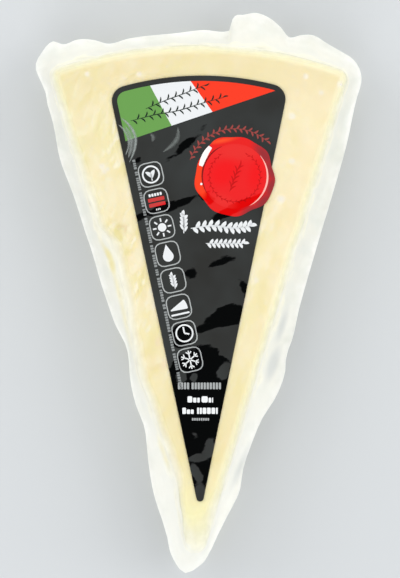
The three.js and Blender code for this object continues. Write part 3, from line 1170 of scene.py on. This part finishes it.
def wet_share(tree, flat):
    """1 where the glue has wetted out and 0 where it hasn't."""
    smear = add(tree, "ShaderNodeMapping", {0: flat, "Rotation": (0, 0, -SMEAR_WAY)})
    drawn_out = add(tree, "ShaderNodeVectorMath", (smear, (0.45, 1, 1)), operation="MULTIPLY")
    ragged = add(tree, "ShaderNodeTexNoise", {0: drawn_out, "Scale": 1 / RAGGED, "Detail": 3.0})
    moves = (ragged, 0.25, 0.75, -RAGGED_BY, RAGGED_BY)
    moved = add(tree, "ShaderNodeMapRange", moves, clamp=False)
    wet = add(tree, "ShaderNodeMath", (patch_field(tree, flat, WETTED), moved), operation="ADD")
    dry = patch_field(tree, flat, STILL_DRY)
    not_dry = add(tree, "ShaderNodeMath", (moved, dry), operation="SUBTRACT")
    field = add(tree, "ShaderNodeMath", (wet, not_dry), operation="MINIMUM")
    ends = (field, -SOFT_EDGE, SOFT_EDGE, 0.0, 1.0)
    return add(tree, "ShaderNodeMapRange", ends, interpolation_type="SMOOTHSTEP")


def printed_ink(name, deep, hazy, other_hazy=None, changes=()):
    """Ink under a gloss laminate: its deep colour where wetted out, its hazy one elsewhere. Each
    change is a colour laid over that, with its patches, blur and share."""
    finish, tree, ink = start_finish(f"{name}_in_laminate")
    spot = add(tree, "ShaderNodeTexCoord").outputs["Object"]
    flat = add(tree, "ShaderNodeVectorMath", (spot, (1, 1, 0)), operation="MULTIPLY")
    drift = add(tree, "ShaderNodeTexNoise", {0: spot, "Scale": 1 / DRIFT, "Detail": 2.0})
    drifted = add(tree, "ShaderNodeMapRange", (drift, 0.35, 0.65, 0.0, 1.0))
    layers = [(drifted, other_hazy or hazy), (wet_share(tree, flat), deep)]
    for tone, patches, blur, most in changes:
        layers.append((patch_share(tree, flat, patches, blur, most), tone))
    feed(tree, ink, {"Base Color": painted(tree, hazy, layers), "Roughness": 0.16, "IOR": 1.5})
    return finish


black_ink = printed_ink("black_ink", "#050606", "#323230", "#3a3c3b")


# %% Lay a flat shape on the label
PRINT_CELL = 1.5 * MM
PRINT_THICK = 0.03 * MM


def lay_on_label(name, shape, finish, lift, thick=PRINT_THICK, cell=PRINT_CELL):
    """Give a flat shape its thickness and lay it on the label's waves, its top at the lift."""
    faces = cut_squares(shape, shape.faces[:], cell)
    bmesh.ops.recalc_face_normals(shape, faces=faces)
    raised = bmesh.ops.extrude_face_region(shape, geom=faces, use_keep_orig=True)["geom"]
    for part in raised:
        if isinstance(part, bmesh.types.BMVert):
            part.co.z += thick
    for vertex in shape.verts:
        x, y, z = vertex.co
        vertex.co.z = slow_height(x, y) + lift - thick + z
    return make_piece(name, shape, finish, "printed_label")


SHEET_TOP = SHEET_LIFT + SHEET_THICK
SHEET_CELL = 1.0 * MM
LABEL_STEP = 0.8 * MM  # along the outline
LAYER = 0.02 * MM  # from one layer of print to the next

label_shape = bmesh.new()
draw_wedge(label_shape, LABEL, LABEL_STEP)
bmesh.ops.edgeloop_fill(label_shape, edges=label_shape.edges)
lay_on_label("label_sheet", label_shape, black_ink, SHEET_TOP, SHEET_THICK, SHEET_CELL)

# %% [markdown]
# ## Three fields of colour
#
# A band in green, white and red crosses the wide end of the label, inside a narrow black
# border. All three fields are the label's own outline, drawn a border's width smaller. Bisect
# cuts it along the band's lower edge and along the two slanted lines between the colours, and
# throws away what isn't kept, as a knife would.

# %% The band
BORDER = 1.45 * MM
BAND_LOW = ((-18.8, 41.4), (20.9, 54.8))  # two points of each line, in millimetres
GREEN_TO_WHITE = ((-13.1, 56.3), (-7.3, 45.5))
WHITE_TO_RED = ((-2.0, 57.3), (3.7, 49.3))

green_ink = printed_ink("green_ink", "#629a45", "#6c9e52")
white_ink = printed_ink("white_ink", "#f0f1f0", "#e9eaea")
red_ink = printed_ink("red_ink", "#f8301a", "#f63f28")


def keep_left(shape, line):
    """Cut a flat shape along a line and keep what is on its left."""
    start, end = (Vector((*point, 0)) * MM for point in line)
    way = end - start
    bmesh.ops.bisect_plane(
        shape,
        geom=[*shape.verts, *shape.edges, *shape.faces],
        dist=SAME_PLACE,
        plane_co=start,
        plane_no=(way.y, -way.x, 0),
        clear_outer=True,
    )


def band_field(name, ink, lines):
    """The part of the label, inside its border, that is left of every line."""
    field = bmesh.new()
    draw_wedge(field, LABEL.grown(-BORDER), LABEL_STEP)
    bmesh.ops.edgeloop_fill(field, edges=field.edges)
    for line in lines:
        keep_left(field, line)
    return lay_on_label(name, field, ink, SHEET_TOP + LAYER)


band_field("green_field", green_ink, [BAND_LOW, GREEN_TO_WHITE[::-1]])
band_field("white_field", white_ink, [BAND_LOW, GREEN_TO_WHITE, WHITE_TO_RED[::-1]])
band_field("red_field", red_ink, [BAND_LOW, WHITE_TO_RED])

# %% [markdown]
# ## Lines that bend: garlands, arcs and crease highlights
#
# A printed leaf, an arc and the painted highlight on a crease in the laminate are all narrow
# strips that follow a route and grow thinner at their ends. A straight strip of little faces is
# drawn first, one row of faces wide on each side of its middle. Then it is bent onto the route
# like a flexible ruler: the place along the strip gives a point of the route, and the place
# across it gives the distance from there.


# %% Routes and strips
def curve_through(points):
    """A smooth route through points in millimetres: share of the way in, place in metres out."""
    spots = [Vector(point) * MM for point in points]
    spots = [2 * spots[0] - spots[1], *spots, 2 * spots[-1] - spots[-2]]

    def at(share):
        whole = min(len(points) - 2, int(share * (len(points) - 1)))
        t = share * (len(points) - 1) - whole
        a, b, c, d = spots[whole : whole + 4]
        turned = (c - a) * t + (2 * a - 5 * b + 4 * c - d) * t**2 + (3 * (b - c) + d - a) * t**3
        return b + turned / 2

    return at


def arc_of(centre, radius, start, end):
    """A route along an arc, with its size in millimetres and its angles in degrees."""

    def at(share):
        angle = math.radians(start + (end - start) * share)
        return (Vector(centre) + Vector((math.cos(angle), math.sin(angle))) * radius) * MM

    return at


def swelling(most, least=0.0):
    """A width in millimetres that swells from the ends of a strip to its middle."""
    return lambda share: (least + (most - least) * math.sin(math.pi * share) ** 0.7) * MM


def strip(shape, route, width, steps, cover=None, most=1.0):
    """Add a strip that follows a route. A cover layer is set to most along its middle line."""
    older = set(shape.verts)
    pen = bmesh.ops.create_vert(shape, co=(0, 0, 0))["vert"][0]
    pull(shape, pen, Vector((1, 0, 0)), 1 / steps)
    middle = [vertex for vertex in shape.verts if vertex not in older]
    spine = list(dict.fromkeys(edge for vertex in middle for edge in vertex.link_edges))
    rows = [(vertex, 0) for vertex in middle]
    for side in (-1, 1):
        vertices, _ = grow(shape, spine)
        bmesh.ops.translate(shape, verts=vertices, vec=(0, side, 0))
        rows += [(vertex, side) for vertex in vertices]
    for vertex, side in rows:
        share = min(1.0, max(0.0, vertex.co.x))
        near = 0.5 / steps
        way = route(min(1.0, share + near)) - route(max(0.0, share - near))
        across = Vector((-way.y, way.x)).normalized()
        spot = route(share) + across * side * width(share) / 2
        vertex.co = (spot.x, spot.y, 0)
        if cover:
            vertex[cover] = most * (1.0 - abs(side))


# %% Leaves and garlands
LEAF_STEPS = 6
LEAF_BOW = 0.12  # a leaf's bend, as a share of its length


def straight(start, end):
    return curve_through([start, end])


def leaf(shape, root, way, length, width, bend=1):
    """Add a leaf from its root along a way, bent to the left by a bend of 1, all in mm."""
    across = Vector((-way.y, way.x))
    middle = root + way * length / 2 - across * bend * LEAF_BOW * length
    strip(shape, curve_through([root, middle, root + way * length]), swelling(width), LEAF_STEPS)


def garland(shape, route, count, leaf_size, lean_out, stem):
    """Add a stem along a route with leaves on both sides in turn, and one at its end."""
    length, width = leaf_size
    strip(shape, route, swelling(stem, stem / 2), 4 * count)
    for i in range(count + 1):
        share = (i + 0.5) / (count + 0.5)
        root = route(share) / MM
        way = (route(min(1.0, share + 0.01)) - route(max(0.0, share - 0.01))).normalized()
        side = 1 if i % 2 else -1
        turned = 0.0 if i == count else math.radians(lean_out) * side
        leaf(shape, root, Matrix.Rotation(turned, 2) @ way, length, width, side)


# %% Dark garlands over the band
BAND_LEAF = (1.7, 0.42)  # length and width in millimetres
dark_ink = printed_ink("dark_ink", "#121a15", "#26302a")
band_garlands = bmesh.new()
upper_stem = curve_through([(-14.2, 49.9), (-8.8, 52.2), (-3.6, 54.1), (1.5, 56.2)])
lower_stem = curve_through([(-18.3, 46.6), (-11.6, 48.3), (-5.4, 49.4), (0.4, 51.2), (6.6, 52.9)])
for stem, count in ((upper_stem, 15), (lower_stem, 24)):
    garland(band_garlands, stem, count, BAND_LEAF, 55, 0.24)
lay_on_label("band_garlands", band_garlands, dark_ink, SHEET_TOP + 2 * LAYER)

# %% [markdown]
# ## Blocks, rings and frames
#
# Leafy garlands fill the places of the large lines of print, plain blocks those of the small
# ones, and each small sign is a simple shape in a round-cornered frame. A block is a grid of
# one face whose corners are bevelled. A frame or a ring is a face that is inset by the width
# of its line, without its inner face.


# %% Flat shapes
BLOCK_GAP = 0.2  # between the blocks of a word, in millimetres


def set_in(shape, vertices, centre, turn):
    """Turn vertices round zero, by degrees, and move them to a centre in millimetres."""
    place = Matrix.Translation(Vector((*centre, 0)) * MM) @ Matrix.Rotation(math.radians(turn), 4, "Z")
    bmesh.ops.transform(shape, matrix=place, verts=vertices)


def block(shape, centre, width, height, turn=0.0, corner=0.25):
    """Add a flat block with rounded corners, in millimetres and degrees."""
    made = bmesh.ops.create_grid(shape, x_segments=1, y_segments=1, size=0.5)["verts"]
    bmesh.ops.scale(shape, verts=made, vec=(width * MM, height * MM, 1))
    rounded = bmesh.ops.bevel(
        shape,
        geom=made,
        offset=corner * min(width, height) * MM,
        segments=3,
        profile=0.5,
        affect="VERTICES",
        material=-1,
    )
    vertices = rounded["verts"]
    set_in(shape, vertices, centre, turn)
    return vertices[0].link_faces[0]


def disc(shape, centre, radius, segments=40):
    """Add a flat disc."""
    made = bmesh.ops.create_circle(shape, cap_ends=True, radius=radius * MM, segments=segments)
    set_in(shape, made["verts"], centre, 0.0)
    return made["verts"][0].link_faces[0]


def hollow(shape, face, line):
    """Keep only a line of a face, along its edge."""
    bmesh.ops.inset_region(
        shape, faces=[face], thickness=line * MM, use_boundary=True, use_even_offset=True
    )
    bmesh.ops.delete(shape, geom=[face], context="FACES")


def word(shape, start, widths, height, turn=0.0, gap=BLOCK_GAP, first_height=None):
    """Add a row of blocks that stands for a word, from its lower left corner."""
    way = Vector((math.cos(math.radians(turn)), math.sin(math.radians(turn))))
    upwards = Vector((-way.y, way.x))
    along = 0.0
    for i, width in enumerate(widths):
        tall = first_height if i == 0 and first_height else height
        centre = Vector(start) + way * (along + width / 2) + upwards * tall / 2
        block(shape, centre, width, tall, turn)
        along += width + gap


# %% The lines on the black ground
garlands = bmesh.new()
garland(garlands, straight((-3.9, 16.2), (-3.9, 20.6)), 8, (1.9, 0.95), 35, 0.45)
title_stem = curve_through([(-2.0, 17.5), (3.8, 18.2), (9.4, 17.6), (13.9, 18.1)])
garland(garlands, title_stem, 20, (2.1, 1.05), 52, 0.42)
garland(garlands, straight((2.1, 13.4), (12.2, 13.4)), 16, (1.65, 0.8), 52, 0.34)
lay_on_label("white_garlands", garlands, white_ink, SHEET_TOP + LAYER)

small_blocks = bmesh.new()
word(small_blocks, (-2.9, -29.7), [1.3, 0.9, 0.7], 1.3, gap=0.22, first_height=1.7)
word(small_blocks, (0.9, -29.7), [1.7, 0.7, 0.3], 1.3, gap=0.22, first_height=1.7)
word(small_blocks, (-4.3, -32.8), [1.0, 0.9, 0.8], 1.2, first_height=1.7)
word(small_blocks, (-0.3, -32.8), [0.5, 0.6, 1.0, 1.0, 1.0, 0.5], 1.7)
lay_on_label("small_white_blocks", small_blocks, white_ink, SHEET_TOP + LAYER)

pale_ink = printed_ink("pale_ink", "#a9abaa", "#b2b5b3")
pale_blocks = bmesh.new()
word(pale_blocks, (-5.5, -26.1), [0.6] * 4, 1.8, gap=0.22)
word(pale_blocks, (-1.8, -26.1), [0.6] * 10, 1.8, gap=0.22)
word(pale_blocks, (-1.7, -34.6), [0.45] * 8, 0.7, gap=0.15)
lay_on_label("small_pale_blocks", pale_blocks, pale_ink, SHEET_TOP + LAYER)

# %% The fine line of print along the left edge
FINE_START = Vector((-17.9, 36.0))
FINE_END = Vector((-5.6, -23.0))
FINE_TALL = 0.8
LETTERS = (2, 8)  # fewest and most in a word
LETTER_WIDE = (0.35, 0.7)
LETTER_GAP = 0.16
WORD_GAP = 0.5
dice = random.Random(7)

fine_way = FINE_END - FINE_START
fine_turn = math.degrees(math.atan2(fine_way.y, fine_way.x))
fine_print = bmesh.new()
along = 0.0
while along < fine_way.length:
    letters = dice.randint(*LETTERS)
    widths = [dice.uniform(*LETTER_WIDE) for _ in range(letters)]
    start = FINE_START + fine_way.normalized() * along
    word(fine_print, start, widths, FINE_TALL, fine_turn, gap=LETTER_GAP)
    along += sum(widths) + LETTER_GAP * letters + WORD_GAP
faint_ink = printed_ink("faint_ink", "#868988", "#8f9291")
lay_on_label("fine_print", fine_print, faint_ink, SHEET_TOP + LAYER)

# %% Eight frames for small signs
FRAME_SIZE = 6.66
FRAME_CORNER = 0.285  # of its size
FRAME_LINE = 0.3
FRAME_TURN = 12.5
FIRST_SIGN = Vector((-12.8, 32.1))
LAST_SIGN = Vector((-2.2, -18.1))
SIGN_COUNT = 8


def in_sign(number, x, y):
    """A place in a sign's own frame as one on the label, all in millimetres."""
    centre = FIRST_SIGN.lerp(LAST_SIGN, number / (SIGN_COUNT - 1))
    turn = Matrix.Rotation(math.radians(FRAME_TURN), 2)
    return centre + turn @ Vector((x, y))


frames = bmesh.new()
for number in range(SIGN_COUNT):
    centre = in_sign(number, 0, 0)
    square = block(frames, centre, FRAME_SIZE, FRAME_SIZE, FRAME_TURN, FRAME_CORNER)
    hollow(frames, square, FRAME_LINE)
lay_on_label("sign_frames", frames, pale_ink, SHEET_TOP + LAYER)


# %% Rows, lines and leaves in a sign
signs = bmesh.new()


def sign_row(number, y, total, letters, height):
    """A row of blocks, centred in a sign."""
    width = (total - BLOCK_GAP * (letters - 1)) / letters
    start = in_sign(number, -total / 2, y - height / 2)
    word(signs, start, [width] * letters, height, FRAME_TURN)


def sign_strip(number, start, end, width, steps=4):
    """A straight line between two places in a sign."""
    route = straight(in_sign(number, *start), in_sign(number, *end))
    strip(signs, route, lambda share: width * MM, steps)


def sign_leaf(number, root, degrees, length, width, bend=1):
    angle = math.radians(degrees + FRAME_TURN)
    way = Vector((math.cos(angle), math.sin(angle)))
    leaf(signs, in_sign(number, *root), way, length, width, bend)


DROP_ROUND, DROP_MIDDLE, DROP_TIP = 1.45, -0.7, 2.6  # radius and heights in its sign


def drop_width(share):
    """Width of the drop at a share of its height: round below, with straight sides above."""
    rise = share * (DROP_TIP - DROP_MIDDLE + DROP_ROUND) - DROP_ROUND
    tall = DROP_TIP - DROP_MIDDLE
    touch = DROP_ROUND**2 / tall
    if rise < touch:
        return 2 * math.sqrt(max(0.0, DROP_ROUND**2 - rise**2)) * MM
    return 2 * math.sqrt(DROP_ROUND**2 - touch**2) * (tall - rise) / (tall - touch) * MM


# %% The eight signs
# a ring round two leaves
hollow(signs, disc(signs, in_sign(0, 0, 0), 2.45), 0.45)
sign_strip(0, (0, -1.7), (0, 0.2), 0.3)
sign_leaf(0, (0, -1.2), 62, 2.6, 1.1, -1)
sign_leaf(0, (0, -0.9), 128, 2.3, 1.0)
# rows above and below two red bars
sign_row(1, 1.75, 3.6, 5, 0.8)
sign_row(1, -2.3, 1.2, 3, 0.5)
# a sun
disc(signs, in_sign(2, 0, 0), 1.15)
for degrees in range(0, 360, 45):
    ray = Matrix.Rotation(math.radians(degrees), 2)
    sign_strip(2, ray @ Vector((1.55, 0)), ray @ Vector((2.55, 0)), 0.42, 2)
# a drop
drop_line = straight(in_sign(3, 0, DROP_MIDDLE - DROP_ROUND), in_sign(3, 0, DROP_TIP))
strip(signs, drop_line, drop_width, 30)
# an ear of wheat
ear = straight(in_sign(4, 0, -2.4), in_sign(4, 0, 0.9))
garland(signs, ear, 8, (1.5, 0.7), 38, 0.28)
# a wedge of cheese on a board
wedge_sign = replace(
    LABEL,
    tip=in_sign(5, -2.2, -0.6) * MM,
    opening=math.radians(30),
    turn=math.radians(FRAME_TURN - 77),
    right_side=4.2 * MM,
    left_side=4.2 * MM,
    tip_round=0.2 * MM,
    corner_round=0.3 * MM,
    end_radius=5 * MM,
)
draw_wedge(signs, wedge_sign, 0.5 * MM)
bmesh.ops.edgeloop_fill(signs, edges=[edge for edge in signs.edges if edge.is_wire])
block(signs, in_sign(5, 0, -2.0), 5.0, 0.5, FRAME_TURN, 0.2)
# a clock
hollow(signs, disc(signs, in_sign(6, 0, 0), 2.45), 0.42)
sign_strip(6, (0, 0), (0, 1.75), 0.4)
sign_strip(6, (0, 0), (1.25, -0.5), 0.4)
# a snowflake
for degrees in range(0, 360, 60):
    arm = Matrix.Rotation(math.radians(degrees + 30), 2)
    sign_strip(7, arm @ Vector((0.2, 0)), arm @ Vector((2.5, 0)), 0.34, 3)
    for fork in (1, -1):
        sign_strip(7, arm @ Vector((1.5, 0)), arm @ Vector((2.2, 0.75 * fork)), 0.3, 2)
lay_on_label("signs", signs, white_ink, SHEET_TOP + LAYER)

red_bars = bmesh.new()
for y in (0.45, -0.95):
    block(red_bars, in_sign(1, 0, y), 4.5, 1.0, FRAME_TURN, 0.15)
bar_ink = printed_ink("bar_red", "#e0262a", "#c9403e")
lay_on_label("red_bars", red_bars, bar_ink, SHEET_TOP + LAYER)

# %% [markdown]
# ## The badge
#
# A round red badge stands past the label's right edge. It is print too, drawn as a seal of wax:
# an uneven disc, a pressed inner disc, a groove and a dark side where no light falls, and
# white and pale crescents where it shines. The outline is a circle whose rim vertices are moved
# in or out by three waves. The colours that change over the wax are soft patches.

# %% Printed wax
BADGE = Vector((9.9, 31.6))
BADGE_RADIUS = 10.75
LOBES = ((9, 0.2, 0.6), (5, 0.22, 2.4), (3, 0.14, 1.0))  # how many, how deep in mm, and phase
INNER_RADIUS = 8.8
BADGE_LIFT = SHEET_TOP + 2 * LAYER
LIT_SIDE = ((0.9, 35.5), (-0.1, 31.5), (1.0, 27.2))  # of the wax's rim
LIT_TOP = ((4.6, 40.9), (8.2, 41.6))
DARK_SIDE = ((16.4, 39.3), (19.3, 35.6), (20.6, 31.0), (19.4, 26.2), (16.0, 22.8), (12.6, 21.2))
RIM_CHANGES = (  # colour, patches, blur and share
    ("#ff4a26", along_route(LIT_SIDE, 1.4), 0.6, 0.8),
    ("#ff5a30", along_route(LIT_TOP, 0.5), 0.6, 0.8),
    ("#8d3439", along_route(DARK_SIDE, 1.5), 1.2, 0.9),
)
FACE_CHANGES = (  # its patches are given as on the rim of the film
    ("#e73733", ((10.5, 38.4, 6.0, 2.4, 0), (6.5, 24.8, 2.6, 1.5, -20)), 1.6, 0.7),
    ("#f01c1f", ((7.2, 32.6, 4.0, 3.0, 30), (15.6, 32.0, 3.4, 1.8, 80)), 1.6, 0.8),
)
WAX_RED = "#dc0606"

rim_wax = printed_ink("rim_wax", WAX_RED, "#e62725", changes=RIM_CHANGES)
face_wax = printed_ink("face_wax", WAX_RED, "#ea2829", changes=FACE_CHANGES)
badge_shape = bmesh.new()
radius = BADGE_RADIUS * MM
rim_ring = bmesh.ops.create_circle(badge_shape, cap_ends=True, radius=radius, segments=180)["verts"]
for vertex in rim_ring:
    turn = math.atan2(vertex.co.y, vertex.co.x)
    lobes = sum(deep * math.cos(count * turn + phase) for count, deep, phase in LOBES)
    vertex.co *= 1 + lobes / BADGE_RADIUS
set_in(badge_shape, rim_ring, BADGE, 0.0)
lay_on_label("badge", badge_shape, rim_wax, BADGE_LIFT, SHEET_THICK + 2 * LAYER)
inner_disc = bmesh.new()
disc(inner_disc, BADGE, INNER_RADIUS, 120)
lay_on_label("badge_face", inner_disc, face_wax, BADGE_LIFT + LAYER)

# %% Groove and shine of the wax
groove = bmesh.new()
strip(groove, arc_of(BADGE, INNER_RADIUS, 112, 212), swelling(0.42), 60)
groove_ink = printed_ink("groove_red", "#7c0f12", "#84201f")
lay_on_label("badge_groove", groove, groove_ink, BADGE_LIFT + 2 * LAYER)

shine = bmesh.new()
WHITE_SHINE = ((3.3, 39.6), (2.2, 38.0), (1.3, 36.2), (0.7, 34.4))
strip(shine, curve_through(WHITE_SHINE), swelling(1.5, 1.0), 30)
disc(shine, (0.85, 29.5), 0.32)
shine_ink = printed_ink("white_shine", "#fffdfb", "#fff8f5")
lay_on_label("badge_shine", shine, shine_ink, BADGE_LIFT + 3 * LAYER)

pale_shine = bmesh.new()
strip(pale_shine, arc_of(BADGE, INNER_RADIUS + 0.1, -64, 40), swelling(0.5), 60)
pale_shine_ink = printed_ink("pale_shine", "#ffb0a2", "#fdb9ad")
lay_on_label("badge_pale_shine", pale_shine, pale_shine_ink, BADGE_LIFT + 2 * LAYER)

# %% An ear of wheat pressed into the badge, in a ring of leaves, and a garland above it
pressed = bmesh.new()
ear = straight((BADGE.x - 1.4, BADGE.y - 4.2), (BADGE.x + 1.0, BADGE.y + 2.4))
garland(pressed, ear, 9, (2.1, 0.42), 34, 0.2)
garland(pressed, arc_of(BADGE, 6.9, 118, 418), 46, (0.9, 0.3), 40, 0.12)
pressed_ink = printed_ink("pressed_red", "#b40b0d", "#cc1b1d")
lay_on_label("badge_motif", pressed, pressed_ink, BADGE_LIFT + 2 * LAYER)

coral_ink = printed_ink("coral_ink", "#b8453f", "#9d4a45")
coral_garland = bmesh.new()
garland(coral_garland, arc_of(BADGE, 12.9, 160, 48), 30, (1.45, 0.5), 50, 0.2)
lay_on_label("coral_garland", coral_garland, coral_ink, SHEET_TOP + LAYER)

# %% [markdown]
# ## Painted highlights on creases in the laminate
#
# Beside the band the label has creased where the film under it moved. A sharp crease catches
# the light as a fine pale line, and a soft fold as a wide faint one. Both are painted as
# highlights: each is a strip that is opaque along its middle and clear at its edges, from a
# number at each vertex.


# %% Painted highlights of the laminate creases
FOLD_BREAK = 1.5 * MM  # size of the places where a fold shows less
CREASE_HIGHLIGHTS = (  # points, width and strength
    (((-21.6, 45.6), (-20.2, 44.3), (-19.1, 42.4), (-18.8, 40.0), (-19.7, 37.2)), 1.0, 0.5),
    (((-20.9, 47.4), (-19.1, 45.9), (-17.5, 43.5), (-17.0, 41.0), (-17.5, 38.1), (-18.7, 35.3)), 1.2, 0.6),
    (((-19.8, 45.2), (-18.3, 42.4), (-18.2, 39.4), (-18.9, 36.6)), 1.9, 0.35),
    (((-5.5, 44.9), (-5.5, 42.6), (-6.7, 40.4), (-9.6, 38.1)), 1.7, 0.2),
    (((-12.9, 43.2), (-12.2, 42.1), (-12.5, 41.0)), 1.5, 0.16),
)


def painted_crease_highlights():
    """Pale laminate along its creases: a painted highlight, strongest along each crease's middle."""
    finish, tree, fold_and_highlight = start_finish("painted_crease_highlights")
    spot = add(tree, "ShaderNodeTexCoord").outputs["Object"]
    broken = add(tree, "ShaderNodeTexNoise", {0: spot, "Scale": 1 / FOLD_BREAK, "Detail": 2.0})
    patchy = add(tree, "ShaderNodeMapRange", (broken, 0.3, 0.7, 0.6, 1.0))
    cover = add(tree, "ShaderNodeAttribute", attribute_name="cover").outputs["Fac"]
    seen = add(tree, "ShaderNodeMath", (cover, patchy), operation="MULTIPLY")
    feed(tree, fold_and_highlight, {"Base Color": "#b9c0bb", "Roughness": 0.25, "Alpha": seen})
    return finish


crease_highlight_strips = bmesh.new()
cover_layer = crease_highlight_strips.verts.layers.float.new("cover")
for points, width, strength in CREASE_HIGHLIGHTS:
    strip(crease_highlight_strips, curve_through(points), swelling(width), 40, cover_layer, strength)
lay_on_label("laminate_crease_highlights", crease_highlight_strips, painted_crease_highlights(), SHEET_TOP + 3 * LAYER)
